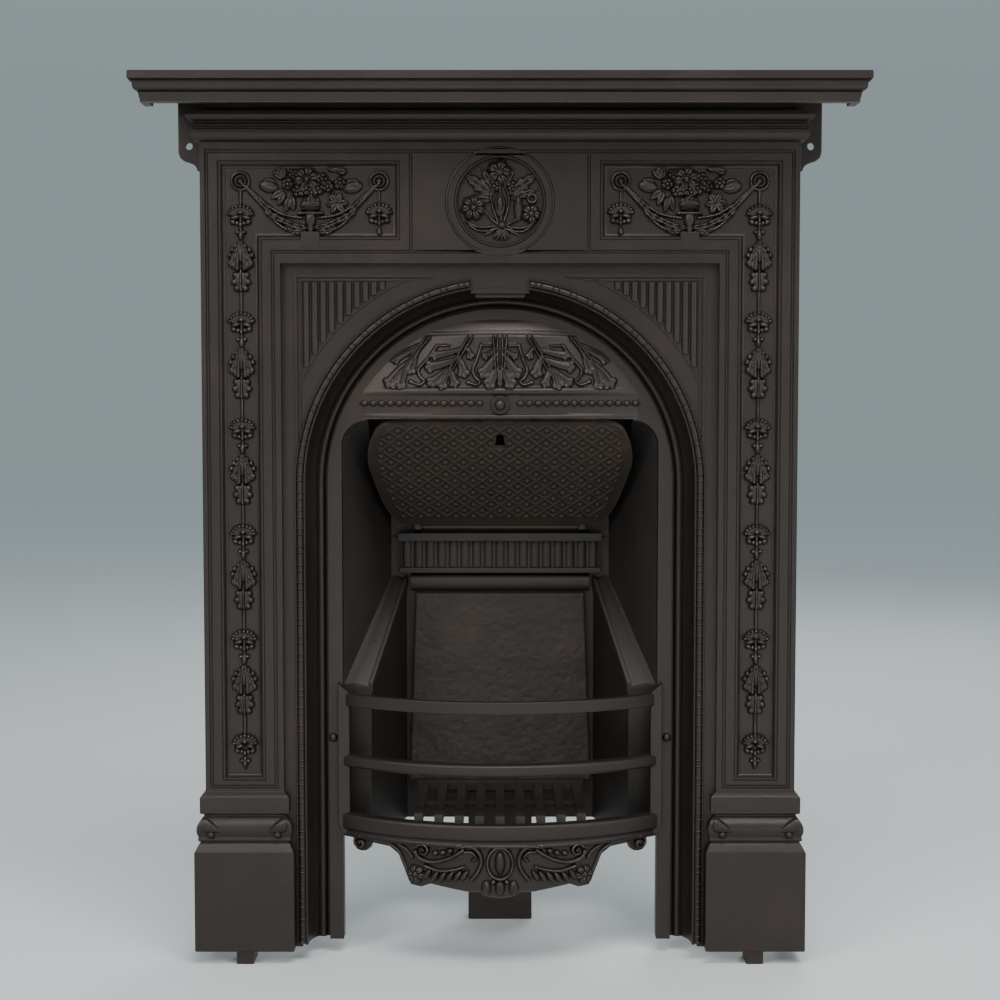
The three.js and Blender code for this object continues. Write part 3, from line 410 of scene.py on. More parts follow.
def loft(rings, closed=False):
    """A shell through rings of points; closed joins the last ring to the first."""
    count = len(rings[0])
    points = [point for ring in rings for point in ring]
    faces = []
    for step in range(len(rings) if closed else len(rings) - 1):
        here = step * count
        there = ((step + 1) % len(rings)) * count
        for i in range(count):
            j = (i + 1) % count
            faces.append((here + i, here + j, there + j, there + i))
    if not closed:
        faces.append(tuple(range(count)))
        faces.append(tuple(range((len(rings) - 1) * count, len(rings) * count)))
    return points, faces


def round_edges(work, width, segments=2):
    sharp = [edge for edge in work.edges
             if len(edge.link_faces) == 2 and edge.calc_face_angle() > BEVEL_ANGLE]
    bmesh.ops.bevel(work, geom=sharp, offset=width, segments=segments, profile=0.5, affect="EDGES",
                    clamp_overlap=True)


def bevelled(shell, width, segments=2):
    """The shell with its sharp edges rounded."""
    points, faces = shell
    work = bmesh.new()
    corners = [work.verts.new(point) for point in points]
    for face in faces:
        work.faces.new([corners[i] for i in face])
    bmesh.ops.recalc_face_normals(work, faces=work.faces)
    round_edges(work, width, segments)
    work.verts.index_update()
    points = [tuple(corner.co) for corner in work.verts]
    faces = [tuple(corner.index for corner in face.verts) for face in work.faces]
    work.free()
    return points, faces


def block(x0, x1, y0, y1, z0, z1, edge=0.8):
    ring = [(x0, y0), (x1, y0), (x1, y1), (x0, y1)]
    shell = loft([[(x, y, z) for x, y in ring] for z in (z0, z1)])
    return bevelled(shell, edge) if edge else shell


def plate(outlines, front, back, edge=0.8):
    """A plate drawn from the front as an outline and its holes, made thick from front to back."""
    flat = tessellate_polygon([[Vector((x, z, 0.0)) for x, z in outline] for outline in outlines])
    loops = [point for outline in outlines for point in outline]
    total = len(loops)
    points = [(x, front, z) for x, z in loops] + [(x, back, z) for x, z in loops]
    faces = [tuple(face) for face in flat]
    faces.extend(tuple(corner + total for corner in reversed(face)) for face in flat)
    start = 0
    for outline in outlines:
        count = len(outline)
        for i in range(count):
            a = start + i
            b = start + (i + 1) % count
            faces.append((a, b, b + total, a + total))
        start += count
    return bevelled((points, faces), edge) if edge else (points, faces)


print("plates ready")

# %% Run mouldings


def curve_between(start, end, bulge, steps=6):
    """Points of a hollow or a round between two profile points, without the ends."""
    (x0, z0), (x1, z1) = start, end
    points = []
    for i in range(1, steps):
        t = i / steps
        push = bulge * 4.0 * t * (1.0 - t)
        points.append((x0 + (x1 - x0) * t + (z0 - z1) * push, z0 + (z1 - z0) * t + (x1 - x0) * push))
    return points


def mitred_run(path, profile):
    """A closed profile of (outwards, height) run along a plan path, its outside on the right hand."""
    sections = []
    for i, (x, y) in enumerate(path):
        normals = []
        for a, b in ((i - 1, i), (i, i + 1)):
            if 0 <= a and b < len(path):
                along = Vector((path[b][0] - path[a][0], path[b][1] - path[a][1])).normalized()
                normals.append(Vector((along.y, -along.x)))
        mitre = normals[0]
        if len(normals) > 1:
            mitre = (normals[0] + normals[1]) / (1.0 + normals[0].dot(normals[1]))
        sections.append([(x + mitre.x * out, y + mitre.y * out, z) for out, z in profile])
    return loft(sections)


def inset(outline, distance):
    """The outline's corners moved inwards (it runs counter-clockwise seen from the front)."""
    moved = []
    for i, (x, z) in enumerate(outline):
        before = Vector((x - outline[i - 1][0], z - outline[i - 1][1])).normalized()
        following = outline[(i + 1) % len(outline)]
        after = Vector((following[0] - x, following[1] - z)).normalized()
        turn = 1.0 + before.dot(after)
        moved.append((x - (before.y + after.y) * distance / turn,
                      z + (before.x + after.x) * distance / turn))
    return moved


def framed(outline, profile):
    """A mitred frame: a closed profile of (inwards, y) run round an outline."""
    return loft([[(x, y, z) for x, z in inset(outline, distance)] for distance, y in profile], closed=True)


print("mouldings ready")

# %% Arched and turned forms


def arch_stations(bottom, steps=56):
    """Directions along an arch: up the right jamb, over the top and down the left."""
    stations = [(1.0, 0.0, bottom), (1.0, 0.0, (bottom + SPRING_Z) / 2.0)]
    for i in range(steps + 1):
        angle = math.pi * i / steps
        stations.append((math.cos(angle), math.sin(angle), SPRING_Z))
    return stations + [(-1.0, 0.0, (bottom + SPRING_Z) / 2.0), (-1.0, 0.0, bottom)]


def run_over(stations, profile):
    return loft([[(r * across, y, z + r * up) for r, y in profile] for across, up, z in stations])


def arched(profile, bottom):
    """A closed profile of (radius, y) run up one jamb, round the arch and down the other."""
    return run_over(arch_stations(bottom), profile)


def half_arch(side, bottom, stop, steps=28):
    """Stations up one jamb and round to an angle short of the crown."""
    stations = [(side, 0.0, bottom), (side, 0.0, (bottom + SPRING_Z) / 2.0)]
    for i in range(steps + 1):
        angle = stop * i / steps
        stations.append((side * math.cos(angle), math.sin(angle), SPRING_Z))
    return stations


def arch_outline(radius, bottom, steps=56):
    return [(radius * across, z + radius * up) for across, up, z in arch_stations(bottom, steps)]


def turned(profile, x, y, z, steps=24, squash=1.0):
    """A profile of (radius, forward) turned about an axis that points at the viewer."""
    rings = []
    for i in range(steps):
        angle = 2.0 * math.pi * i / steps
        rings.append([(x + r * math.cos(angle), y - out, z + r * squash * math.sin(angle))
                      for r, out in profile])
    return loft(rings, closed=True)


# Main planes and sizes, the same as the solids
FACE_Y = -65.0
FIELD_Y = -55.0
PANEL_Y = -57.0
HOLLOW_Y = -47.0
SPRING_Z = 645.0
HEIGHT = 1170.0
BODY_HALF = 394.0
FIELD_HALF = 289.0
FIELD_TOP = 935.0
PLINTH_BOTTOM = 18.0
print("shell tools ready")

# %% [markdown]
# The mantel shelf is one casting: a flat plate with a deep moulded edge turned down along the front, which
# returns a little way at both ends. Its section is drawn once, fillet over ogee over fascia with two fine
# quirks, and run round.

# %% Mantel shelf
SHELF_HALF = 469.0
SHELF_FRONT = -160.0
SHELF_BOTTOM = 1132.0
SHELF_PLATE = 12.0
SHELF_SKIRT = 24.0
SHELF_RETURN = 50.0


def shelf_edge():
    ogee_top = (-1.5, 1158.0)
    ogee_waist = (-5.5, 1152.5)
    ogee_foot = (-10.5, 1146.0)
    outer = [(-13.5, SHELF_BOTTOM), (-14.0, SHELF_BOTTOM + 1.5), (-11.5, 1144.5), (-12.6, 1145.2),
             ogee_foot]
    outer += curve_between(ogee_foot, ogee_waist, -0.22) + [ogee_waist]
    outer += curve_between(ogee_waist, ogee_top, 0.2) + [ogee_top]
    outer += [(-2.8, 1158.8), (-0.6, 1159.6), (0.0, 1160.4), (0.0, HEIGHT - 1.2), (-1.2, HEIGHT)]
    return outer + [(-SHELF_SKIRT, HEIGHT), (-SHELF_SKIRT, SHELF_BOTTOM)]


def mantel_shelf():
    end = SHELF_FRONT + SHELF_RETURN
    half = SHELF_HALF
    run = [(-half, end), (-half, SHELF_FRONT), (half, SHELF_FRONT), (half, end)]
    inner = half - SHELF_SKIRT + 0.5
    underside = HEIGHT - SHELF_PLATE
    casting = Casting().add(mitred_run(run, shelf_edge()))
    casting.add(block(-inner, inner, SHELF_FRONT + SHELF_SKIRT - 0.5, end, underside, HEIGHT, 0))
    casting.add(block(-half, half, end - 0.2, 0.0, underside, HEIGHT, 1.0))
    return casting.make("mantel_shelf", BLACK_LEAD)


dress(mantel_shelf(), "fireplace", "black_lead", "mantel_shelf")

# %% [markdown]
# The ornament is low relief, cast from one carved pattern, so its forms melt into each other. A height map
# suits that best: each motif is pressed into a fine grid, the higher form wins, and the grid becomes the
# front of a thin closed slab. Motifs are drawn by rules, petal by petal, from the places measured in the
# photo.

# %% Relief motifs


STRAND_CHUNK = 12
STRAND_TWIST = 1.6


class Relief:
    """Heights over a grid of x and z, in millimetres, built up motif by motif."""

    def __init__(self, x, z):
        self.x = x
        self.z = z
        self.height = np.zeros_like(x)

    def near(self, x, z, reach):
        return (np.abs(self.x - x) < reach) & (np.abs(self.z - z) < reach)

    def lay(self, where, rise):
        self.height[where] = np.maximum(self.height[where], rise)

    def local(self, where, x, z, angle):
        """Across and along coordinates of a motif that points along an angle clockwise from up."""
        dx = self.x[where] - x
        dz = self.z[where] - z
        sine, cosine = math.sin(angle), math.cos(angle)
        return dx * cosine - dz * sine, dx * sine + dz * cosine

    def dome(self, x, z, width, length, rise, angle=0.0, power=0.5):
        where = self.near(x, z, max(width, length) / 2.0 + 1.0)
        across, along = self.local(where, x, z, angle)
        inside = 1.0 - (2.0 * across / width) ** 2 - (2.0 * along / length) ** 2
        self.lay(where, rise * np.clip(inside, 0.0, None) ** power)

    def ring(self, x, z, radius, width, rise):
        where = self.near(x, z, radius + width)
        away = np.hypot(self.x[where] - x, self.z[where] - z) - radius
        self.lay(where, rise * np.sqrt(np.clip(1.0 - (2.0 * away / width) ** 2, 0.0, None)))

    def petal(self, x, z, angle, width, length, rise, fullness=0.8, crease=0.35):
        """A rounded petal with its foot at (x, z); fullness below 1 puts the width near the foot."""
        where = self.near(x, z, length + 1.0)
        across, along = self.local(where, x, z, angle)
        t = np.clip(along / length, 0.0, 1.0)
        half = width / 2.0 * np.sin(np.pi * t ** fullness) ** 0.7 + 1e-6
        body = np.sqrt(np.clip(1.0 - (across / half) ** 2, 0.0, None))
        groove = crease * np.exp(-((across / (0.09 * width + 0.35)) ** 2))
        self.lay(where, rise * body * (0.62 + 0.38 * np.sin(np.pi * t)) * (1.0 - groove))

    def leaf(self, x, z, angle, width, length, rise, lobes=4, cut=0.34, vein=0.22):
        """A cut leaf with its foot at (x, z): the rim swings once for each lobe, with veins to match."""
        where = self.near(x, z, length + 1.0)
        across, along = self.local(where, x, z, angle)
        t = np.clip(along / length, 0.0, 1.0)
        swing = 1.0 - cut * np.abs(np.sin(np.pi * lobes * t)) ** 0.8
        half = width / 2.0 * np.sin(np.pi * t ** 0.72) ** 0.75 * swing + 1e-6
        side = np.abs(across) / half
        body = np.sqrt(np.clip(1.0 - side ** 2.4, 0.0, None))
        ribs = 1.0 - vein * (0.5 - 0.5 * np.cos(2.0 * np.pi * (lobes * t - 0.9 * np.clip(side, 0.0, 1.0))))
        groove = 0.4 * np.exp(-((across / (0.05 * width + 0.4)) ** 2))
        self.lay(where, rise * body * ribs * (1.0 - groove) * (0.7 + 0.3 * np.sin(np.pi * t)))

    def flower(self, x, z, radius, rise, petals=5, turn=0.0, eye=0.36):
        """An open flower: petals that rise to a rolled rim, and a domed eye."""
        where = self.near(x, z, radius * 1.05)
        dx = self.x[where] - x
        dz = self.z[where] - z
        away = np.hypot(dx, dz)
        angle = np.arctan2(dx, dz) - turn
        wave = np.abs(np.cos(petals * angle / 2.0))
        edge = radius * (0.76 + 0.24 * wave ** 0.6)
        share = np.clip(away / edge, 0.0, 1.0)
        body = np.sqrt(np.clip(1.0 - share ** 5, 0.0, None)) * (0.5 + 0.5 * np.sin(np.pi * share ** 1.3))
        gap = 1.0 - 0.55 * np.exp(-((wave * away / 1.5) ** 2)) * (share > 0.1)
        rib = 1.0 - 0.18 * np.exp(-((np.sin(petals * angle / 2.0) * away / 1.6) ** 2))
        self.lay(where, rise * body * gap * rib)
        self.dome(x, z, radius * eye * 2.0, radius * eye * 2.0, rise * 0.95)

    def strand(self, points, width, rise, twist=0.0, taper=1.0, power=0.5):
        """A round cord through smoothed points; taper is the width at its end as a share of the start."""
        longest = max(math.dist(a, b) for a, b in zip(points, points[1:]))
        path = smooth_path(points, max(6, math.ceil(longest / (0.22 * width))))
        steps = np.hypot(*np.diff(path, axis=0).T)
        run = np.concatenate([[0.0], np.cumsum(steps)])
        half = width / 2.0 * (1.0 + (taper - 1.0) * run / run[-1])
        high = rise * (1.0 - twist * (0.5 + 0.5 * np.cos(run * STRAND_TWIST)))
        for start in range(0, len(path), STRAND_CHUNK):
            part = slice(start, start + STRAND_CHUNK)
            low_corner = path[part].min(axis=0) - half.max()
            high_corner = path[part].max(axis=0) + half.max()
            where = (self.x > low_corner[0]) & (self.x < high_corner[0])
            where &= (self.z > low_corner[1]) & (self.z < high_corner[1])
            if not where.any():
                continue
            across = self.x[where][:, None] - path[None, part, 0]
            along = self.z[where][:, None] - path[None, part, 1]
            inside = np.clip(1.0 - (across ** 2 + along ** 2) / half[part] ** 2, 0.0, None)
            self.lay(where, (high[part] * inside ** power).max(axis=1))

    def volute(self, x, z, radius, start, turns, width, rise, hand=1.0):
        """A spiral that winds in to a small eye."""
        points = []
        for i in range(int(18 * turns) + 1):
            t = i / (18.0 * turns)
            angle = start + hand * 2.0 * math.pi * turns * t
            reach = radius * (1.0 - 0.78 * t)
            points.append((x + reach * math.sin(angle), z + reach * math.cos(angle)))
        self.strand(points, width, rise, 0.0, 0.6)
        self.dome(x, z, radius * 0.55, radius * 0.55, rise)


print("motifs ready")

# %% Grids and slabs


def smooth_path(points, steps):
    """A curve through the points, sampled finely."""
    knots = np.array([points[0], *points, points[-1]], float)
    samples = []
    for i in range(1, len(knots) - 2):
        a, b, c, d = knots[i - 1:i + 3]
        for k in range(steps):
            t = k / steps
            bend = (2 * a - 5 * b + 4 * c - d) * t * t
            twist = (3 * b - a - 3 * c + d) * t ** 3
            samples.append(0.5 * (2 * b + (c - a) * t + bend + twist))
    samples.append(knots[-2])
    return np.array(samples)


def grid(x0, x1, z0, z1, step):
    columns = int(round((x1 - x0) / step)) + 1
    rows = int(round((z1 - z0) / step)) + 1
    return np.meshgrid(np.linspace(x0, x1, columns), np.linspace(z0, z1, rows))


def cell_middles(values):
    return (values[:-1, :-1] + values[1:, 1:]) / 2.0


def relief_slab(front, back, inside=None, flat_back=False):
    """A closed slab from two grids of points; inside picks its cells and a flat back is one face."""
    rows, columns = front.shape[:2]
    if inside is None:
        inside = np.ones((rows - 1, columns - 1), bool)
    number = np.arange(rows * columns).reshape(rows, columns)
    total = rows * columns
    cells = np.argwhere(inside)
    corners = [number[cells[:, 0] + dz, cells[:, 1] + dx] for dz, dx in ((0, 0), (0, 1), (1, 1), (1, 0))]
    quads = np.stack(corners, axis=1)
    edges = np.concatenate([quads[:, [i, (i + 1) % 4]] for i in range(4)])
    keys = np.sort(edges, axis=1) @ np.array([total, 1])
    values, counts = np.unique(keys, return_counts=True)
    rim = edges[np.isin(keys, values[counts == 1])].tolist()
    faces = quads.tolist() + [[b, a, a + total, b + total] for a, b in rim]
    if flat_back:
        following = dict(rim)
        loop = [rim[0][0]]
        while following[loop[-1]] != loop[0]:
            loop.append(following[loop[-1]])
        faces.append([corner + total for corner in reversed(loop)])
    else:
        faces += (quads[:, ::-1] + total).tolist()
    used = np.unique(np.concatenate([np.asarray(face) for face in faces]))
    renumber = np.full(2 * total, -1)
    renumber[used] = np.arange(len(used))
    points = np.concatenate([front.reshape(-1, 3), back.reshape(-1, 3)])
    return points[used].tolist(), [tuple(renumber[face].tolist()) for face in faces]


def flat_slab(relief, ground, thickness, inside=None):
    """A relief that stands on a flat ground facing the viewer."""
    front = np.stack([relief.x, ground - relief.height, relief.z], axis=2)
    back = np.stack([relief.x, np.full_like(relief.x, ground + thickness), relief.z], axis=2)
    return relief_slab(front, back, inside, flat_back=True)


print("relief tools ready")


# %% [markdown]
# The surround is the big arched frame. Its face stands forward as pilasters and frieze, with a bent sunk
# panel on each side, a round medallion in the middle and fine incised lines; a lower field lies round the
# arch. It is built up in layers, as the pattern maker would have done: a back plate, a face plate with the
# panels cut out, thin strips that leave the incised lines between them, and mouldings run round the panels.

# %% Surround carcass
LINE = 4.8
LINE_DEPTH = 2.4
LINE_RIDGE = 1.3
PANEL_MOULDING = 10.0
PILASTER_X = 341.5
BASE_TOP = 226.0
MEDALLION_Z = 1016.0
MEDALLION_RADIUS = 57.0
MEDALLION_RIM = 72.0
MEDALLION_Y = -59.0
CORNICE_BOTTOM = 1093.0
ARCH_HOLE = 266.0
LUG_TOP = 1157.5
LUG_HOLE_X = 417.0
LUG_HOLE_Z = 1095.0
LUG_HOLE_RADIUS = 4.7


def mirrored(outline):
    return [(-x, z) for x, z in reversed(outline)]


def panel_outline(side):
    """The bent outline of one sunk panel, counter-clockwise seen from the front."""
    left = [(-371.0, 247.0), (-313.0, 247.0), (-313.0, 965.0), (-131.0, 965.0), (-131.0, 1069.0),
            (-371.0, 1069.0)]
    return left if side < 0 else mirrored(left)


def circle(radius, x, z, steps=64):
    return [(x + radius * math.cos(2 * math.pi * i / steps), z + radius * math.sin(2 * math.pi * i / steps))
            for i in range(steps)]


def doorway(half, top, foot, outer_half, outer_top):
    """An outline like an upturned U: a rectangle with a doorway out of its foot."""
    return [(-outer_half, foot), (-half, foot), (-half, top), (half, top), (half, foot), (outer_half, foot),
            (outer_half, outer_top), (-outer_half, outer_top)]


def rectangle(x0, x1, z0, z1):
    return [(x0, z0), (x1, z0), (x1, z1), (x0, z1)]


def add_face_strips(casting):
    """Strips of the face between the incised lines, with a fine ridge along each line."""
    front, back = FACE_Y, FACE_Y + LINE_DEPTH + 0.2
    outer, inner, low, high, split = 385.0, 299.0, 239.0, 1081.0, 117.0
    frieze_low = 950.0
    half = LINE / 2.0
    border = [(-BODY_HALF, BASE_TOP), (-BODY_HALF, CORNICE_BOTTOM + 4), (BODY_HALF, CORNICE_BOTTOM + 4),
              (BODY_HALF, BASE_TOP), (FIELD_HALF, BASE_TOP), (FIELD_HALF, FIELD_TOP),
              (-FIELD_HALF, FIELD_TOP), (-FIELD_HALF, BASE_TOP)]
    groove = [(-outer, low), (-outer, high), (outer, high), (outer, low), (inner, low), (inner, frieze_low),
              (-inner, frieze_low), (-inner, low)]
    casting.add(plate([border, inset(groove, half)], front, back, 0.5))
    ridge = [(-LINE_RIDGE / 2, back), (-LINE_RIDGE / 2, front + 0.3), (LINE_RIDGE / 2, front + 0.3),
             (LINE_RIDGE / 2, back)]
    casting.add(framed(list(reversed(groove)), ridge))
    for x in (-split, split):
        casting.add(block(x - LINE_RIDGE / 2, x + LINE_RIDGE / 2, front + 0.3, back, frieze_low, high, 0.2))
    for side in (-1, 1):
        near, far = split + half, outer - half
        leg = inner + half
        shape = [(-far, low + half), (-leg, low + half), (-leg, frieze_low + half),
                 (-near, frieze_low + half), (-near, high - half), (-far, high - half)]
        hole = panel_outline(-1)
        if side > 0:
            shape = mirrored(shape)
            hole = panel_outline(1)
        casting.add(plate([shape, hole], front, back, 0.5))
    middle = rectangle(-split + half, split - half, frieze_low + half, high - half)
    casting.add(plate([middle, circle(MEDALLION_RIM, 0.0, MEDALLION_Z)], front, back, 0.5))


print("face strips ready")

# %% Sections of the surround's mouldings


def panel_moulding():
    """Section of the moulding round a sunk panel: step, quirk, fillet and ovolo."""
    ovolo = [(4.6, FACE_Y + 2.6), (9.4, PANEL_Y - 0.7)]
    return [(-0.6, FACE_Y + 0.6), (0.0, FACE_Y + 2.4), (1.0, FACE_Y + 2.4), (1.4, FACE_Y + 1.2),
            (3.4, FACE_Y + 1.2), (3.8, FACE_Y + 2.8), ovolo[0], *curve_between(ovolo[0], ovolo[1], 0.16),
            ovolo[1], (PANEL_MOULDING, PANEL_Y + 0.2), (PANEL_MOULDING, PANEL_Y + 1.6),
            (-0.6, PANEL_Y + 1.6)]


def medallion_rim():
    """Section of the medallion's rim: two fine rings with a flat band between them."""
    return [(73.0, 0.4), (72.0, -1.6), (71.0, 0.6), (69.6, 0.9), (68.6, -0.2), (68.0, 0.2), (60.6, 0.2),
            (60.0, -0.8), (59.2, 0.9), (57.8, 1.0), (56.6, -0.4), (55.8, -6.4), (55.8, -8.5), (73.0, -8.5)]


def cornice_section():
    cavetto = [(0.0, CORNICE_BOTTOM), (11.0, 1104.0)]
    ovolo = [(11.0, 1119.6), (16.0, 1130.4)]
    section = [cavetto[0], *curve_between(*cavetto, -0.2), cavetto[1], (11.0, 1108.6), (7.6, 1109.2),
               (7.0, 1110.4), (7.4, 1111.6), (9.5, 1112.2), (9.5, 1115.8), (6.6, 1116.4), (6.0, 1117.6),
               (6.6, 1119.0), ovolo[0], *curve_between(*ovolo, -0.2), ovolo[1], (16.0, 1131.6)]
    return section + [(-8.0, 1131.6), (-8.0, CORNICE_BOTTOM)]


def base_section():
    """Section of a pilaster base: cap band, scotia, torus, fillet, chamfer and plinth."""
    torus = [(2.0, 198.6), (8.6, 172.0)]
    section = [(-6.0, 234.0), (0.0, 233.0), (0.6, 231.0), (5.6, 227.0), (7.0, 224.6), (7.0, 204.6),
               (6.2, 203.2), (3.0, 202.4), (1.4, 201.0), (1.4, 199.6), torus[0],
               *curve_between(*torus, 0.2, 10), torus[1], (9.4, 170.4), (9.4, 168.0), (8.4, 166.8),
               (6.6, 166.0), (6.4, 164.6), (7.6, 163.4), (8.6, 162.4), (13.2, 153.4), (14.0, 151.4),
               (14.0, 19.2), (13.0, PLINTH_BOTTOM)]
    return section + [(-1.0, PLINTH_BOTTOM), (-1.0, 160.0), (-6.0, 166.0)]


print("sections ready")

# %% Bases, lugs and carcass


def add_base(casting, side):
    left, right = (-BODY_HALF, -FIELD_HALF) if side < 0 else (FIELD_HALF, BODY_HALF)
    start, end = (0.0, FIELD_Y) if side < 0 else (FIELD_Y, 0.0)
    run = [(left, start), (left, FACE_Y), (right, FACE_Y), (right, end)]
    casting.add(mitred_run(run, base_section()))
    tab = side * PILASTER_X
    casting.add(block(tab - 11.5, tab + 11.5, -75.0, -35.0, 0.0, 30.0, 1.2))


def add_lug(casting, side):
    outline = [(390.0, 1060.0), (406.0, 1062.0), (407.6, 1067.0), (411.5, 1071.0), (418.0, 1073.4),
               (424.6, 1075.6), (429.4, 1080.0), (431.5, 1087.0), (431.5, LUG_TOP), (390.0, LUG_TOP)]
    hole = circle(LUG_HOLE_RADIUS, side * LUG_HOLE_X, LUG_HOLE_Z, 20)
    if side < 0:
        outline = mirrored(outline)
    casting.add(plate([outline, hole], -8.0, 0.0, 0.8))


def surround_carcass(casting):
    back_outline = [(-BODY_HALF, PLINTH_BOTTOM), *reversed(arch_outline(ARCH_HOLE, PLINTH_BOTTOM)),
                    (BODY_HALF, PLINTH_BOTTOM), (BODY_HALF, 1125.0), (-BODY_HALF, 1125.0)]
    casting.add(plate([back_outline], FIELD_Y, HOLLOW_Y, 0.5))
    face = doorway(FIELD_HALF, FIELD_TOP, PLINTH_BOTTOM + 4, BODY_HALF, CORNICE_BOTTOM + 4)
    holes = [panel_outline(-1), panel_outline(1), circle(MEDALLION_RIM, 0.0, MEDALLION_Z)]
    casting.add(plate([face, *holes], FACE_Y + LINE_DEPTH, FIELD_Y + 0.4, 0))
    add_face_strips(casting)
    for side in (-1, 1):
        casting.add(framed(panel_outline(side), panel_moulding()))
        wall = sorted((side * (BODY_HALF - 8.0), side * (BODY_HALF - 0.3)))
        casting.add(block(wall[0], wall[1], HOLLOW_Y - 2.0, 0.0, 20.0, 1125.0, 0.6))
        add_base(casting, side)
        add_lug(casting, side)
    casting.add(turned(medallion_rim(), 0.0, FACE_Y + 0.6, MEDALLION_Z, 96))
    cornice_run = [(-BODY_HALF, 0.0), (-BODY_HALF, FACE_Y), (BODY_HALF, FACE_Y), (BODY_HALF, 0.0)]
    casting.add(mitred_run(cornice_run, cornice_section()))
    casting.add(block(-390.0, 390.0, FACE_Y + 2.0, 0.0, 1124.0, 1157.7, 0.6))


surround = Casting()
surround_carcass(surround)
print("carcass faces", len(surround.faces))

# %% [markdown]
# Round the opening runs the arch: a ringed roll between two fillets, a deep plain cove and a round inner
# lip. Cove and lip are one profile run up a jamb, over the arch and down again; the channel for the roll
# stops on both sides of a plain tablet at the crown, which lies nearly flush with the field above it.

# %% Arch mouldings
BEAD_RADIUS = 266.0
BEAD_Y = -59.5
ARCH_FOOT = PLINTH_BOTTOM + 4.0
KEYSTONE_HALF = 39.0
KEYSTONE_LOW = 896.0
KEYSTONE_TOP = 921.0
KEYSTONE_ANGLE = math.acos(KEYSTONE_HALF / BEAD_RADIUS)


def bead_channel():
    """Section of the channel that holds the ringed roll, between two fillets."""
    return [(273.0, FIELD_Y + 2.0), (273.0, FACE_Y + 5.0), (272.4, FACE_Y + 4.2), (271.0, FACE_Y + 4.2),
            (270.4, FACE_Y + 6.6), (269.6, FACE_Y + 8.4), (262.4, FACE_Y + 8.4), (261.6, FACE_Y + 6.6),
            (261.0, FACE_Y + 4.6), (259.4, FACE_Y + 4.6), (258.6, FACE_Y + 5.4), (258.6, FIELD_Y + 2.0)]


def cove_and_lip():
    cove = [(258.6, FACE_Y + 9.0), (247.0, -19.0)]
    lip = [(247.0, -19.6), (236.4, -17.0)]
    section = [(260.0, FIELD_Y + 1.0), cove[0], *curve_between(*cove, -0.09, 10), cove[1], (247.2, -20.6)]
    section += [lip[0], *curve_between(*lip, 0.3, 8), lip[1], (236.0, -15.6), (236.0, -11.0)]
    return section + [(267.0, -11.0), (267.0, FIELD_Y + 1.0)]


surround.add(arched(cove_and_lip(), ARCH_FOOT))
for side in (-1, 1):
    surround.add(run_over(half_arch(side, ARCH_FOOT, KEYSTONE_ANGLE), bead_channel()))
surround.add(block(-KEYSTONE_HALF, KEYSTONE_HALF, FIELD_Y - 0.6, HOLLOW_Y - 1.0, KEYSTONE_LOW,
                   KEYSTONE_TOP, 0.5))
surround.add(block(-33.0, 33.0, FIELD_Y + 3.0, -12.0, 890.5, 897.0, 1.6))
print("with arch", len(surround.faces))


# %% [markdown]
# Down each pilaster hangs a drop: a scalloped flower cap, a bud, a ragged husk and a cut leaf on a string,
# five times over. Each frieze corner holds a basket of flowers between two round paterae, with leafy swags;
# both corners are cast from one pattern, so the basket repeats instead of mirroring. All of it goes into
# one height map for each bent panel.

# %% Drops and flower baskets
DROP_TOP = 1003.0
DROP_PITCH = 140.6
DROP_COUNT = 6
PATERA_Z = 1043.0
BASKET_X = 249.5
SHORT_DROP_X = 159.0
PANEL_STEP = 0.85
PANEL_BEND_X = 322.4
PANEL_BEND_Z = 974.4
PANEL_BOLDNESS = 1.15


def patera(relief, x, z):
    relief.ring(x, z, 11.6, 3.6, 3.6)
    relief.ring(x, z, 6.6, 2.6, 2.8)
    relief.dome(x, z, 7.0, 7.0, 3.8)


def flower_cap(relief, x, z):
    """A flower seen from the side: a crescent of scalloped petals over two drooping lobes."""
    for i in range(9):
        angle = math.radians(-84.0 + 21.0 * i)
        relief.petal(x + 4.0 * math.sin(angle), z - 4.0, angle, 6.4, 14.5, 5.4, 1.5, 0.2)
        relief.dome(x + 14.6 * math.sin(angle), z - 4.0 + 11.0 * math.cos(angle), 5.4, 5.4, 6.8)
    for side in (-1, 1):
        relief.dome(x + side * 7.4, z - 7.6, 14.0, 7.0, 6.6, side * 0.25)
        relief.dome(x + side * 10.0, z - 13.6, 9.0, 7.6, 5.4, side * -0.5)
        relief.dome(x + side * 4.4, z - 15.0, 6.0, 7.0, 4.8)
    relief.dome(x, z - 1.0, 9.0, 8.0, 7.0)
    relief.dome(x, z - 17.0, 5.4, 9.0, 5.6)


def bud(relief, x, z):
    for side in (-1, 1):
        relief.dome(x + side * 4.4, z + 2.0, 6.4, 6.0, 5.4)
    relief.petal(x, z + 3.0, math.pi, 8.0, 13.0, 5.8, 0.7, 0.0)


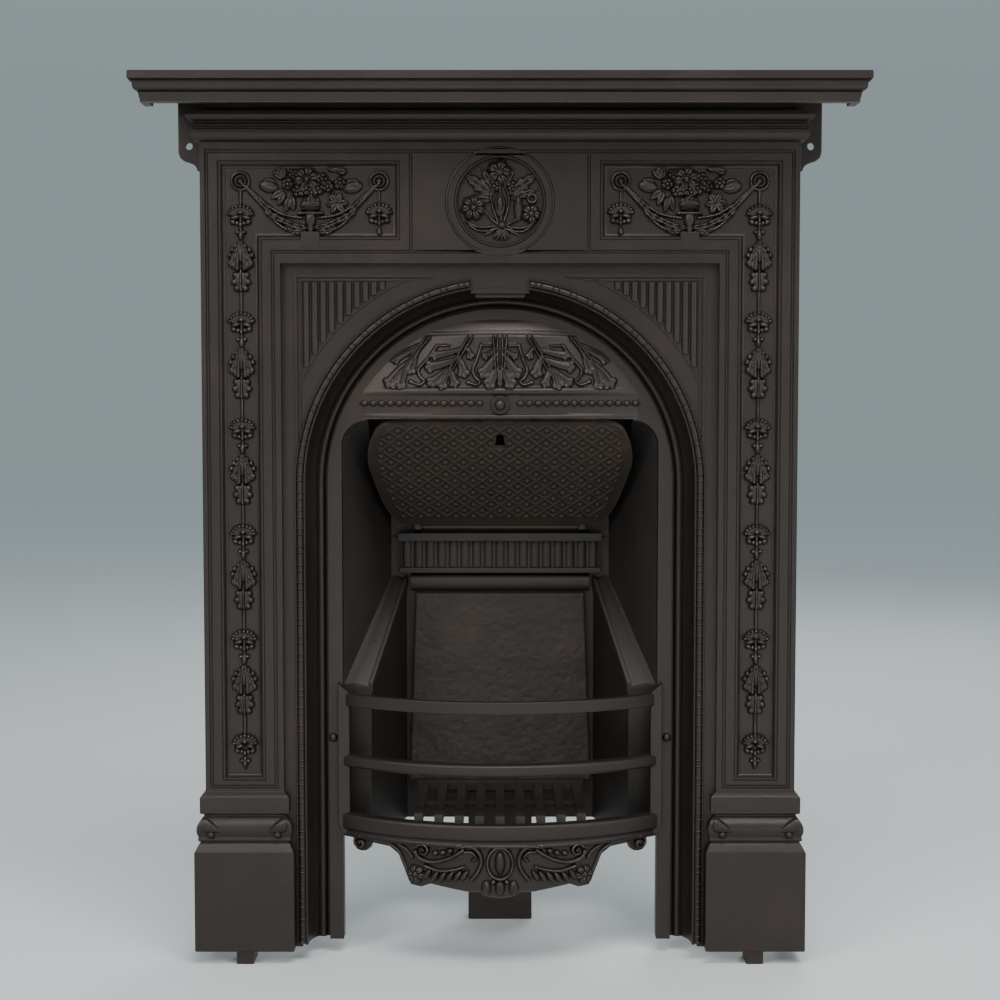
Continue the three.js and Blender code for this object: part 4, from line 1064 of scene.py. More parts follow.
def husk(relief, x, z):
    """A ragged bell of leaves that opens downwards."""
    for reach in (-12.5, -8.0, 8.0, 12.5):
        flare = abs(reach)
        top = (x + reach * 0.12, z + 18.0)
        bend = (x + reach * 0.75, z + 2.0)
        relief.strand([top, bend, (x + reach, z - 19.0 + 0.7 * flare)], 4.0, 5.6, 0.0, 1.9, 0.35)
    for reach in (-4.6, 4.6):
        relief.strand([(x + reach * 0.3, z + 19.0), (x + reach * 0.8, z), (x + reach, z - 16.0)], 4.0, 6.8,
                      0.0, 1.6, 0.4)
    relief.petal(x, z + 17.0, math.pi, 7.0, 26.0, 7.8, 1.3, 0.0)
    for reach, lift in ((14.0, -8.0), (9.0, -11.0), (14.6, 2.0), (11.4, 9.0)):
        for side in (-1, 1):
            relief.dome(x + side * reach, z + lift, 6.4, 8.4, 6.0, side * -0.4)
            relief.dome(x + side * 0.55 * reach, z + lift + 5.0, 4.2, 8.0, 7.4, side * -0.3)


def drop_leaf(relief, x, z):
    """A broad leaf with three round lobes on each side."""
    for reach, lift in ((7.2, 8.0), (9.0, -1.0), (5.6, -9.5)):
        relief.dome(x - reach, z + lift, 9.0, 9.0, 5.4)
        relief.dome(x + reach, z + lift, 9.0, 9.0, 5.4)
    relief.petal(x, z + 14.0, math.pi, 19.0, 29.0, 6.0, 0.8, 0.25)
    relief.strand([(x, z + 14.0), (x, z - 12.0)], 3.4, 7.0)


print("drop motifs ready")

# %% Drops, swags and baskets


def pilaster_drop(relief, x):
    patera(relief, x, PATERA_Z)
    lowest = DROP_TOP - (DROP_COUNT - 1) * DROP_PITCH
    relief.strand([(x, PATERA_Z - 11.0), (x, lowest)], 4.4, 3.4)
    for i in range(DROP_COUNT):
        z = DROP_TOP - i * DROP_PITCH
        flower_cap(relief, x, z)
        bud(relief, x, z - 29.0)
        if i + 1 < DROP_COUNT:
            husk(relief, x, z - 59.0)
            drop_leaf(relief, x, z - 91.0)
    relief.dome(x, lowest - 26.0, 6.5, 12.0, 4.6)


def short_drop(relief, x):
    patera(relief, x, PATERA_Z)
    relief.strand([(x, PATERA_Z - 11.0), (x, 980.0)], 3.4, 2.6)
    flower_cap(relief, x, 1005.0)
    relief.dome(x, 976.5, 8.0, 13.0, 5.0)


def swag(relief, strands, leaves, size):
    for points in strands:
        relief.strand(points, 4.2, 4.2, 0.2)
    for x, z, angle in leaves:
        relief.leaf(x, z, angle, 8.5 * size, 19.0 * size, 6.6, 3, 0.2)


def flower_basket(relief, x):
    """A basket on a stem, its flowers heaped above it; places are from the middle of the stem."""
    for side in (-1, 1):
        reach = side * 91.0
        ends = [(x + reach, 1041.0), (x + side * 64.0, 1011.0), (x + side * 45.0, 989.0),
                (x + side * 26.0, 977.0), (x + side * 10.0, 970.0)]
        upper = [(x + reach * 0.92, 1036.0), (x + side * 60.0, 1015.0), (x + side * 38.0, 1000.0),
                 (x + side * 12.0, 995.0)]
        inner = [(x + reach * 0.95, 1038.0), (x + side * 61.0, 1010.0), (x + side * 40.0, 994.0),
                 (x + side * 10.0, 983.0)]
        leaves = [(x + side * 52.0, 1001.0, -side * 2.2), (x + side * 44.0, 995.0, -side * 2.0),
                  (x + side * 35.0, 990.0, -side * 1.9), (x + side * 33.0, 984.0, -side * 1.9),
                  (x + side * 24.0, 985.0, -side * 1.75), (x + side * 22.0, 978.0, -side * 1.8),
                  (x + side * 60.0, 1006.0, -side * 2.3), (x + side * 68.0, 1018.0, -side * 2.3)]
        swag(relief, [ends, upper, inner], leaves, 1.25)
    relief.flower(x - 4.6, 1046.0, 18.5, 7.4, 6, 0.26, 0.3)
    relief.ring(x - 4.6, 1043.0, 6.6, 3.0, 8.2)
    relief.dome(x - 4.6, 1043.0, 6.0, 6.0, 8.0)
    for angle, length in ((-0.95, 17.0), (-0.45, 19.0), (0.1, 18.0)):
        relief.petal(x - 36.0, 1046.0, angle, 9.5, length, 6.2)
    for angle in (-0.9, 0.35, 1.5):
        relief.petal(x + 34.0, 1055.0, angle, 11.0, 14.0, 6.6, 1.3)
    for place, z in ((-54.7, 1036.0), (56.0, 1035.0)):
        lean = math.copysign(1.35, place)
        relief.dome(x + place, z, 27.0, 17.0, 5.0, math.copysign(0.22, -place))
        relief.petal(x + place * 0.8, z - 2.0, lean, 13.0, 19.0, 6.4)
        relief.petal(x + place * 0.84, z + 5.0, lean, 10.0, 17.0, 6.2)
    for place, z, angle in ((-36.0, 1031.0, -2.2), (-34.0, 1029.0, -2.7), (-28.0, 1022.0, -2.9),
                            (-25.0, 1024.0, 3.0)):
        relief.petal(x + place, z, angle, 11.0, 20.0, 6.0)
    for angle in (-2.6, -1.7, -0.7, 0.4, 1.5, 2.5):
        relief.petal(x + 35.0, 1014.0, angle, 10.0, 15.0, 6.0, 1.1)
    relief.leaf(x + 29.0, 1029.0, 2.7, 10.0, 20.0, 6.2, 3)
    for place, z, size in ((-29.7, 1039.0, 9.0), (-16.5, 1030.0, 9.0), (15.5, 1046.0, 9.0),
                           (23.0, 1036.0, 9.0), (39.0, 1040.0, 9.5), (2.0, 1028.0, 8.0),
                           (-22.0, 1052.0, 7.5), (-9.0, 1031.0, 9.0), (10.0, 1033.0, 9.5)):
        relief.flower(x + place, z, size, 6.4, 5, place)
    relief.dome(x, 1013.0, 27.0, 22.0, 5.0, 0.0, 0.3)
    for i in range(5):
        relief.petal(x + (i - 2) * 5.0, 1022.0, math.pi, 4.2, 9.0, 7.2)
    for z in (1010.5, 1006.8):
        relief.strand([(x - 11.0, z), (x + 11.0, z)], 2.8, 6.6)
    relief.strand([(x - 15.0, 1001.0), (x + 15.0, 1001.0)], 5.0, 6.8)
    relief.dome(x, 993.0, 15.0, 22.0, 6.0, 0.0, 0.4)
    relief.strand([(x, 998.0), (x, 972.0)], 9.0, 5.2)


print("basket ready")

# %% Panel reliefs


def panel_relief(side):
    x, z = grid(-361.5, -140.5, 256.5, 1059.5, PANEL_STEP)
    if side > 0:
        x = -x[:, ::-1]
    relief = Relief(x, z)
    pilaster_drop(relief, side * PILASTER_X)
    flower_basket(relief, side * BASKET_X)
    short_drop(relief, side * SHORT_DROP_X)
    relief.height *= PANEL_BOLDNESS
    inside = (cell_middles(z) > PANEL_BEND_Z) | (np.abs(cell_middles(x)) > PANEL_BEND_X)
    print("panel relief", side, "highest", round(float(relief.height.max()), 2))
    return flat_slab(relief, PANEL_Y, 1.4, inside)


def panel_piece(side):
    casting = Casting().add(panel_relief(side), carved=True)
    x = side * BASKET_X
    casting.add(block(x - 12.5, x + 12.5, FACE_Y - 0.6, PANEL_Y + 1.0, 955.0, 976.0, 0.9))
    name = "left_panel_relief" if side < 0 else "right_panel_relief"
    return casting.make(name, BLACK_LEAD, 50.0)


for side in (-1, 1):
    dress(panel_piece(side), "fireplace", "black_lead")

# %% [markdown]
# The medallion holds a tied bunch of flowers: three open flowers and two small ones, two buds, broad
# leaves, and stems caught by a knot. Its ground is a disc, so the height map is clipped to a circle just
# inside the rim.

# %% Medallion
MEDALLION_STEP = 0.7
MEDALLION_BOLDNESS = 1.25


def bouquet(relief):
    z = MEDALLION_Z
    for x0, z0, angle, width, length in ((-8, 8, -0.95, 24, 48), (-6, 14, -0.55, 14, 36),
                                         (12, 10, 0.95, 22, 46), (14, 4, 1.25, 14, 38),
                                         (-10, 2, -1.45, 13, 34), (6, 20, 0.5, 11, 26)):
        relief.leaf(x0, z + z0, angle, width, length, 5.0, 4, 0.26)
    for points in ([(-44, -26), (-30, -33), (-14, -33), (0, -30)],
                   [(-40, -31), (-28, -38), (-12, -38), (0, -33)],
                   [(47, -26), (32, -34), (16, -34), (4, -30)], [(42, -31), (30, -39), (14, -38), (4, -33)],
                   [(-22, -8), (-12, -22), (0, -32)], [(24, -22), (14, -28), (4, -32)],
                   [(0, 24), (0, 0), (2, -30)], [(-4, 22), (-12, 4), (-2, -30)],
                   [(6, 22), (12, 0), (4, -30)]):
        relief.strand([(px, z + pz) for px, pz in points], 3.4, 3.8)
    relief.flower(-1.0, z + 38.5, 17.5, 7.2, 5, 0.3)
    relief.flower(-35.0, z - 8.0, 18.0, 7.4, 7, 0.1, 0.3)
    relief.flower(41.0, z - 16.0, 14.0, 6.6, 5, 0.5)
    relief.flower(-8.0, z + 20.0, 9.0, 6.0, 5, 0.9)
    relief.flower(16.0, z + 20.0, 8.0, 5.6, 5, 0.2)
    relief.ring(42.0, z + 4.0, 5.4, 4.0, 4.6)
    relief.dome(0.0, z - 4.6, 15.0, 32.0, 4.2, 0.0, 0.35)
    relief.dome(0.0, z - 3.0, 10.5, 25.0, 6.6)
    relief.dome(24.0, z - 8.0, 13.0, 37.0, 6.0)
    relief.dome(24.0, z - 2.0, 8.0, 22.0, 7.0)
    for angle in (-0.62, -0.32, 0.0, 0.32, 0.62):
        relief.petal(2.0, z - 33.0, math.pi + angle, 6.0, 19.0, 4.8)
    for side in (-1, 1):
        relief.petal(2.0 + side * 4.0, z - 32.0, math.pi - side * 1.0, 6.0, 24.0, 4.2)
    relief.dome(2.5, z - 31.0, 14.0, 11.0, 7.4)


def medallion():
    half = MEDALLION_RADIUS
    x, z = grid(-half, half, MEDALLION_Z - half, MEDALLION_Z + half, MEDALLION_STEP)
    relief = Relief(x, z)
    bouquet(relief)
    relief.height *= MEDALLION_BOLDNESS
    inside = np.hypot(cell_middles(x), cell_middles(z) - MEDALLION_Z) < half
    slab = flat_slab(relief, MEDALLION_Y, 3.0, inside)
    return Casting().add(slab, carved=True).make("medallion_relief", BLACK_LEAD, 50.0)


dress(medallion(), "fireplace", "black_lead")

# %% [markdown]
# Along the arch runs a small roll with pairs of narrow rings on it, and along the hood a row of beads with
# small reels between them. On a pattern such a row is turned as a stick and bent round; here one bead and
# one reel are set along a line by geometry nodes. A second tree turns lines into rods, for the roll on the
# arch, the reeds above it and the flutes in the throat.

# %% Geometry node trees


def geometry_tree(name, inputs):
    """A geometry tree with named inputs, its input and output nodes, and the inputs' identifiers."""
    tree = bpy.data.node_groups.new(name, "GeometryNodeTree")
    tree.interface.new_socket(name="Lines", in_out="INPUT", socket_type="NodeSocketGeometry")
    identifiers = {}
    for label, kind, default in inputs:
        socket = tree.interface.new_socket(name=label, in_out="INPUT", socket_type=kind)
        if default is not None:
            socket.default_value = default
        identifiers[label] = socket.identifier
    tree.interface.new_socket(name="Mesh", in_out="OUTPUT", socket_type="NodeSocketGeometry")
    return tree, tree.nodes.new("NodeGroupInput"), tree.nodes.new("NodeGroupOutput"), identifiers


def joined(tree, node_type, links, **settings):
    """A new node with its settings made and its inputs linked or set."""
    node = tree.nodes.new(node_type)
    for label, value in settings.items():
        setattr(node, label, value)
    for label, value in links.items():
        if isinstance(value, bpy.types.NodeSocket):
            tree.links.new(value, node.inputs[label])
        else:
            node.inputs[label].default_value = value
    return node


def scale_vector(tree, across, along):
    node = joined(tree, "ShaderNodeCombineXYZ", {"X": across, "Y": across, "Z": along})
    return node.outputs["Vector"]


def finish_tree(tree, result, geometry, material):
    realized = joined(tree, "GeometryNodeRealizeInstances", {"Geometry": geometry})
    smooth = joined(tree, "GeometryNodeSetShadeSmooth", {"Geometry": realized.outputs["Geometry"]})
    coated = joined(tree, "GeometryNodeSetMaterial",
                    {"Geometry": smooth.outputs["Geometry"], "Material": material})
    tree.links.new(coated.outputs["Geometry"], result.inputs["Mesh"])


print("tree helpers ready")

# %% Bead and rod trees


def bead_tree():
    """A bead and, half a step on, a reel at equal steps along every line."""
    kinds = [("Step", 0.0237), ("Bead Width", 0.009), ("Bead Length", 0.0154), ("Reel Width", 0.008),
             ("Reel Length", 0.004)]
    inputs = [(label, "NodeSocketFloat", default) for label, default in kinds]
    tree, source, result, identifiers = geometry_tree("bead_row",
                                                      inputs + [("Finish", "NodeSocketMaterial", None)])
    value = source.outputs
    lines = joined(tree, "GeometryNodeMeshToCurve", {"Mesh": value["Lines"]})
    steps = joined(tree, "GeometryNodeCurveToPoints",
                   {"Curve": lines.outputs["Curve"], "Length": value["Step"]}, mode="LENGTH")
    turn = joined(tree, "FunctionNodeAlignRotationToVector", {"Vector": steps.outputs["Tangent"]}, axis="Z")
    ball = joined(tree, "GeometryNodeMeshUVSphere", {"Segments": 12, "Rings": 8, "Radius": 0.5})
    bead_size = scale_vector(tree, value["Bead Width"], value["Bead Length"])
    bead = joined(tree, "GeometryNodeTransform", {"Geometry": ball.outputs["Mesh"], "Scale": bead_size})
    disc = joined(tree, "GeometryNodeMeshUVSphere", {"Segments": 12, "Rings": 6, "Radius": 0.5})
    reel_size = scale_vector(tree, value["Reel Width"], value["Reel Length"])
    half_step = joined(tree, "ShaderNodeMath", {0: value["Step"], 1: 0.5}, operation="MULTIPLY").outputs[0]
    offset = joined(tree, "ShaderNodeCombineXYZ", {"Z": half_step}).outputs["Vector"]
    reel = joined(tree, "GeometryNodeTransform",
                  {"Geometry": disc.outputs["Mesh"], "Scale": reel_size, "Translation": offset})
    pair = joined(tree, "GeometryNodeJoinGeometry", {"Geometry": bead.outputs["Geometry"]})
    tree.links.new(reel.outputs["Geometry"], pair.inputs["Geometry"])
    row = joined(tree, "GeometryNodeInstanceOnPoints",
                 {"Points": steps.outputs["Points"], "Instance": pair.outputs["Geometry"],
                  "Rotation": turn.outputs["Rotation"]})
    finish_tree(tree, result, row.outputs["Instances"], value["Finish"])
    return tree, identifiers


def rod_tree():
    """A round rod with closed ends along every line."""
    inputs = [("Radius", "NodeSocketFloat", 0.005), ("Finish", "NodeSocketMaterial", None)]
    tree, source, result, identifiers = geometry_tree("rod_lines", inputs)
    lines = joined(tree, "GeometryNodeMeshToCurve", {"Mesh": source.outputs["Lines"]})
    round_section = joined(tree, "GeometryNodeCurvePrimitiveCircle",
                           {"Resolution": 16, "Radius": source.outputs["Radius"]}, mode="RADIUS")
    rods = joined(tree, "GeometryNodeCurveToMesh",
                  {"Curve": lines.outputs["Curve"], "Profile Curve": round_section.outputs["Curve"],
                   "Fill Caps": True})
    finish_tree(tree, result, rods.outputs["Mesh"], source.outputs["Finish"])
    return tree, identifiers


def grown(name, lines, tree, identifiers, **values):
    """Run a tree on polylines given in millimetres and keep the result as a plain mesh object."""
    points = [point for line in lines for point in line]
    edges = []
    start = 0
    for line in lines:
        edges += [(start + i, start + i + 1) for i in range(len(line) - 1)]
        start += len(line)
    guide = bpy.data.meshes.new(name + "_lines")
    guide.from_pydata([(x * MM, y * MM, z * MM) for x, y, z in points], edges, [])
    host = bpy.data.objects.new(name + "_host", guide)
    bpy.context.scene.collection.objects.link(host)
    modifier = host.modifiers.new(name, "NODES")
    modifier.node_group = tree
    for label, value in values.items():
        modifier[identifiers[label.replace("_", " ")]] = value
    graph = bpy.context.evaluated_depsgraph_get()
    mesh = bpy.data.meshes.new_from_object(host.evaluated_get(graph), depsgraph=graph)
    host.modifiers.remove(modifier)
    bpy.data.objects.remove(host)
    bpy.data.meshes.remove(guide)
    mesh.name = name
    mesh.set_sharp_from_angle(angle=math.radians(40.0))
    piece = bpy.data.objects.new(name, mesh)
    bpy.context.scene.collection.objects.link(piece)
    return piece


BEADS, BEAD_INPUTS = bead_tree()
RODS, ROD_INPUTS = rod_tree()
print("geometry trees", BEADS.name, RODS.name)

# %% [markdown]
# The spandrels above the arch are filled with upright reeds that die on a plain band round the arch, inside
# a double raised line. The ringed roll lies in the hollow of the arch moulding and runs down both jambs to
# their feet. Its rings come from the bead tree, with reels made small enough to stay hidden inside the
# roll.

# %% Ringed roll, reeds and base spurs
REED_COUNT = 10
REED_PITCH = 11.2
REED_OUTER = 262.0
REED_RADIUS = 5.2
REED_TOP = 911.0
SPANDREL_RADIUS = 299.0
ROLL_FOOT = 4.0
ROLL_GAP = 2.0
ROLL_RADIUS = 4.2
RING_STEP = 23.7
RING_PAIR = 8.0
RING_END = 16.0
RING_WIDTH = 11.6
RING_LENGTH = 4.2
HIDDEN_REEL = 2.0


def arch_bead_lines(low, short):
    """The halves of the beaded roll's middle line, from above the arch's foot to short of the keystone."""
    lines = []
    for side in (-1, 1):
        stations = half_arch(side, ARCH_FOOT + low, KEYSTONE_ANGLE - short / BEAD_RADIUS, 80)
        lines.append([(BEAD_RADIUS * across, BEAD_Y, z + BEAD_RADIUS * up) for across, up, z in stations])
    return lines


def reed_lines():
    lines = []
    for side in (-1, 1):
        for i in range(REED_COUNT):
            x = side * (REED_OUTER - REED_PITCH * (i + 0.5))
            foot = SPRING_Z + math.sqrt(SPANDREL_RADIUS ** 2 - x ** 2)
            lines.append([(x, FIELD_Y + 1.0, foot + 1.0), (x, FIELD_Y + 1.0, REED_TOP)])
    return lines


def add_spandrel_border(casting):
    """The double raised line round the reeds, and the line along the arch where they end."""
    for side in (-1, 1):
        for near, far, rise, low in ((268.0, 272.0, 2.5, 692.0), (263.4, 265.6, 1.6, 716.0)):
            inner, outer = sorted((side * near, side * far))
            casting.add(block(inner, outer, FIELD_Y - rise, FIELD_Y + 1.0, low, 921.0, 0.5))
        for near, rise, low, high in ((88.0, 2.5, 917.0, 921.0), (113.0, 1.6, 912.6, 914.8)):
            inner, outer = sorted((side * near, side * 268.0))
            casting.add(block(inner, outer, FIELD_Y - rise, FIELD_Y + 1.0, low, high, 0.5))
        rings = []
        for i in range(25):
            angle = math.radians(28.0 + 37.0 * i / 24.0)
            rings.append([(side * r * math.cos(angle), y, SPRING_Z + r * math.sin(angle))
                          for r, y in ((295.5, FIELD_Y + 1), (295.5, FIELD_Y - 1.6), (299.0, FIELD_Y - 1.6),
                                       (299.0, FIELD_Y + 1))])
        casting.add(loft(rings))


print("reeds ready")

# %% Base spurs and finished surround


def leaf_body(points, sizes, steps=12):
    """A plump leaf along points of (x, y, z), each with its half height and half depth."""
    rings = []
    for (x, y, z), (tall, deep) in zip(points, sizes):
        turn = [2.0 * math.pi * i / steps for i in range(steps)]
        rings.append([(x, y - deep * math.cos(a), z + tall * math.sin(a)) for a in turn])
    return loft(rings)


def add_base_spurs(casting):
    """A leaf with a ball under it at each end of the base's torus, as on a turned column base."""
    ball = [(0.05, 6.0), (3.0, 5.2), (5.2, 3.0), (6.0, 0.0), (5.2, -3.0), (3.0, -5.2), (0.05, -6.0)]
    sizes = [(9.0, 7.0), (10.5, 8.0), (8.0, 6.6), (4.6, 4.4), (0.4, 0.6)]
    for side in (-1, 1):
        for edge, inward in ((BODY_HALF + 4.0, -1.0), (FIELD_HALF - 4.0, 1.0)):
            points = [(side * (edge + inward * reach), FACE_Y - 9.0, 189.0 - fall)
                      for reach, fall in ((0.0, 0.0), (6.0, 1.0), (13.0, 3.0), (20.0, 6.0), (27.0, 9.0))]
            if side * inward < 0:
                casting.add(leaf_body(points, sizes))
            else:
                casting.add(leaf_body(points[::-1], sizes[::-1]))
            casting.add(turned(ball, side * (edge + inward * 12.0), FACE_Y - 8.6, 176.0, 16))


add_spandrel_border(surround)
add_base_spurs(surround)
dress(surround.make("surround", BLACK_LEAD), "fireplace", "black_lead", "surround")
roll = grown("arch_roll", arch_bead_lines(ROLL_FOOT, ROLL_GAP), RODS, ROD_INPUTS, Radius=ROLL_RADIUS * MM,
             Finish=BLACK_LEAD)
dress(roll, "fireplace", "black_lead")
rings = arch_bead_lines(ROLL_FOOT, RING_END) + arch_bead_lines(ROLL_FOOT + RING_PAIR, RING_END - RING_PAIR)
beads = grown("arch_beads", rings, BEADS, BEAD_INPUTS, Step=RING_STEP * MM, Bead_Width=RING_WIDTH * MM,
              Bead_Length=RING_LENGTH * MM, Reel_Width=HIDDEN_REEL * MM, Reel_Length=HIDDEN_REEL * MM,
              Finish=BLACK_LEAD)
dress(beads, "fireplace", "black_lead")
reeds = grown("spandrel_reeds", reed_lines(), RODS, ROD_INPUTS, Radius=REED_RADIUS * MM, Finish=BLACK_LEAD)
dress(reeds, "fireplace", "black_lead")

# %% [markdown]
# The hood plate fills the arch: a flat frame with an opening, and above the opening a bowed hood that
# throws the smoke back. The hood is rolled at its lip, beaded, and carved with acanthus leaves that hang
# from under its domed top. It is drawn as a sheet: levels up the hood, each bowed forward by its own
# amount, with the leaves pressed in as heights.

# %% Hood plate
FRAME_Y = -27.0
FRAME_BACK_Y = -3.0
FRAME_OUTER = 232.0
FRAME_FLANGE = 250.0
OPENING_HALF = 213.0
OPENING_TOP = 728.0
OPENING_CORNER = 34.0
OPENING_ARC = 209.0
OPENING_STEP = 743.5
HOOD_RADIUS = 224.0
HOOD_HALF = 190.0
HOOD_SEAT = 1.5
HOOD_THICK = 7.0
HOOD_BEAD_Z = 751.0
HOOD_BOSS_Z = 749.0
HOOD_COLUMNS = 330
HOOD_ROWS = 117
HOOD_BOW = [(730.0, 25.6), (731.0, 27.4), (733.2, 28.0), (735.4, 27.4), (737.0, 25.0), (747.0, 24.6),
            (755.0, 24.6), (761.5, 25.0), (763.4, 27.8), (765.6, 29.0), (768.0, 29.0), (771.0, 27.6),
            (772.4, 24.6), (774.0, 24.0), (840.0, 14.0), (846.0, 12.4), (852.0, 9.4), (858.0, 5.6),
            (862.0, 2.2), (864.0, 0.0)]


def hood_half(z):
    return np.minimum(HOOD_HALF, np.sqrt(np.clip(HOOD_RADIUS ** 2 - (z - SPRING_Z) ** 2, 1.0, None)))


def hood_y(x, z):
    """The bare face of the hood, before its carving."""
    levels, bows = zip(*HOOD_BOW)
    share = np.clip(x / hood_half(z), -1.0, 1.0)
    return FRAME_Y + HOOD_SEAT - np.interp(z, levels, bows) * (1.0 - share ** 2)


LEAF_LOBES = [
    (6, 8, (5, 824), (12, 818), (19, 814)), (8, 15, (5, 815), (12, 804), (20, 793)),
    (8, 14, (3, 800), (8, 788), (13, 779)), (7, 11, (55, 822), (70, 818), (86, 815)),
    (8, 13, (62, 808), (78, 803), (92, 800)), (8, 12, (70, 795), (82, 786), (90, 780)),
    (10, 13, (72, 792), (75, 785), (77, 778)), (8, 11, (66, 795), (63, 785), (61, 779)),
    (8, 13, (56, 812), (51, 802), (49, 793)), (5, 9, (47, 826), (42, 821), (40, 815)),
    (8, 13, (108, 828), (124, 820), (139, 812)), (9, 15, (122, 806), (136, 793), (146, 780)),
    (9, 14, (126, 798), (131, 785), (133, 779)), (7, 12, (112, 818), (116, 806), (119, 797)),
]
LEAF_RIBS = [
    [(3.5, 839), (3, 805), (1.5, 780)], [(9, 839), (7, 815), (6, 795)],
    [(43, 839), (58, 812), (71, 791), (76, 778)], [(37, 839), (52, 814), (64, 795)],
    [(99, 839), (118, 815), (128, 795), (132, 778)], [(94, 839), (108, 822), (117, 803)],
]
LEAF_STEMS = [
    [(25, 829), (30, 812), (36, 796), (33, 786), (27, 780), (32, 776), (42, 779)],
    [(84, 828), (97, 810), (109, 796), (106, 786), (101, 781), (108, 776), (119, 780)],
]
LEAF_HEADS = [[(12, 828), (25, 828)], [(68, 828), (84, 828)]]


def hood_carving(relief):
    """Five hanging acanthus leaves: swelling lobes beside fine ribs, with stems between the leaves."""
    for side in (-1, 1):
        for start, end, *points in LEAF_LOBES:
            relief.strand([(side * x, z) for x, z in points], start, 3.8, 0.0, end / start, 0.25)
            relief.strand([(side * x, z) for x, z in points], 2.6, 5.0)
            (x0, z0), (x1, z1) = points[-2:]
            lean = math.atan2(x1 - x0, z1 - z0)
            for turn in (-1.1, 0.0, 1.1):
                reach = 0.42 * end
                tip = (x1 + reach * math.sin(lean + turn), z1 + reach * math.cos(lean + turn))
                relief.dome(side * tip[0], tip[1], 0.62 * end, 0.62 * end, 4.2, 0.0, 0.3)
        for points in LEAF_RIBS:
            relief.strand([(side * x, z) for x, z in points], 3.4, 5.4)
        for points in LEAF_STEMS:
            relief.strand([(side * x, z) for x, z in points], 5.0, 4.2, 0.0, 0.8)
            relief.dome(side * points[-1][0], points[-1][1], 7.0, 6.0, 4.4)
        for points in LEAF_HEADS:
            relief.strand([(side * x, z) for x, z in points], 3.4, 4.0)
    relief.strand([(0.0, 792.0), (0.0, 776.0)], 9.0, 5.0, 0.0, 0.9, 0.3)


print("hood carving ready")

# %% Hood shell, frame and beads


def hood_shell():
    levels = np.linspace(HOOD_BOW[0][0], HOOD_BOW[-1][0] - 0.02, HOOD_ROWS + 1)
    share, z = np.meshgrid(np.linspace(-1.0, 1.0, HOOD_COLUMNS + 1), levels)
    half = hood_half(z)
    x = share * half
    relief = Relief(x, z)
    hood_carving(relief)
    edge = np.clip((1.0 - np.abs(share)) * 10.0, 0.0, 1.0)
    lines = sum(0.9 * np.exp(-(((z - level) / 0.7) ** 2)) for level in (842.0, 846.4))
    y = hood_y(x, z) - relief.height * edge + lines * edge
    front = np.stack([x, y, z], axis=2)
    back = np.stack([x, hood_y(x, z) + HOOD_THICK, z], axis=2)
    return relief_slab(front, back)


def opening_outline():
    """The frame's opening, counter-clockwise, with round shoulders and a shallow arc under the hood."""
    corner = (OPENING_HALF - OPENING_CORNER, OPENING_TOP - OPENING_CORNER)
    side = [(OPENING_HALF, 20.0)]
    side += [(corner[0] + OPENING_CORNER * math.cos(a), corner[1] + OPENING_CORNER * math.sin(a))
             for a in np.linspace(0.0, math.radians(90.0), 8)]
    side.append((171.0, OPENING_STEP))
    start = math.asin((OPENING_STEP - SPRING_Z) / OPENING_ARC)
    side += [(OPENING_ARC * math.cos(a), SPRING_Z + OPENING_ARC * math.sin(a))
             for a in np.linspace(start, math.pi / 2.0, 16)]
    return side + [(-x, z) for x, z in reversed(side[:-1])]


def hood_frame():
    outer = arch_outline(FRAME_OUTER, 20.0)
    return plate([outer + list(reversed(opening_outline()))], FRAME_Y, FRAME_BACK_Y, 1.6)


def hood_boss():
    face = float(hood_y(0.0, HOOD_BOSS_Z))
    return turned([(12.6, -4.0), (12.6, 3.4), (11.8, 4.6), (10.2, 5.0), (9.4, 4.2), (7.6, 4.2), (6.8, 6.4),
                   (5.2, 8.2), (2.8, 9.4), (0.05, 9.8), (0.05, -4.0)], 0.0, face, HOOD_BOSS_Z, 40)


def hood_bead_lines():
    lines = []
    for side in (-1, 1):
        xs = np.linspace(side * 27.0, side * 182.0, 60)
        lines.append([(x, float(hood_y(x, HOOD_BEAD_Z)) - 0.6, HOOD_BEAD_Z) for x in xs])
    return lines


hood = Casting().add(hood_shell(), carved=True).add(hood_frame()).add(hood_boss())
hood.add(arched([(FRAME_OUTER - 1.0, FRAME_BACK_Y), (FRAME_OUTER - 1.0, -10.7), (FRAME_FLANGE, -10.7),
                 (FRAME_FLANGE, FRAME_BACK_Y)], 20.0))
dress(hood.make("hood_plate", BLACK_LEAD, 40.0), "fireplace", "black_lead", "hood_plate")
hood_beads = grown("hood_beads", hood_bead_lines(), BEADS, BEAD_INPUTS, Step=11.6 * MM, Bead_Width=8.8 * MM,
                   Bead_Length=10.4 * MM, Reel_Width=4.6 * MM, Reel_Length=3.0 * MM, Finish=BLACK_LEAD)
dress(hood_beads, "fireplace", "black_lead")

# %% [markdown]
# The damper flap is a shaped plate on a pivot behind the opening; it leans forward to close the throat and
# swings back to open it. Its face is quilted: ridges cross in lozenges with a stud in each, inside a plain
# margin. A keyhole takes the poker. The plate is drawn flat, as a grid across and up from its pivot, and
# leaned over at the end.

# %% Damper flap
HINGE_Y = 123.0
HINGE_Z = 574.0
FLAP_TILT = math.radians(45.0)
FLAP_THICK = 7.0
FLAP_OUTLINE = [(8.0, 142.0), (48.0, 162.0), (117.0, 178.0), (140.0, 181.0), (165.0, 179.0), (194.0, 170.0),
                (211.0, 156.0), (218.0, 120.0)]
FLAP_TOP = FLAP_OUTLINE[-1][0]
QUILT = 25.0
KEYHOLE_LOW = 166.0
KEYHOLE_ROUND = 188.0
PIVOT_BAR = (5.0, 110.0)
PIVOT_PINS = (3.0, 121.5)
FLAP_COLUMNS = 264
FLAP_ROWS = 150


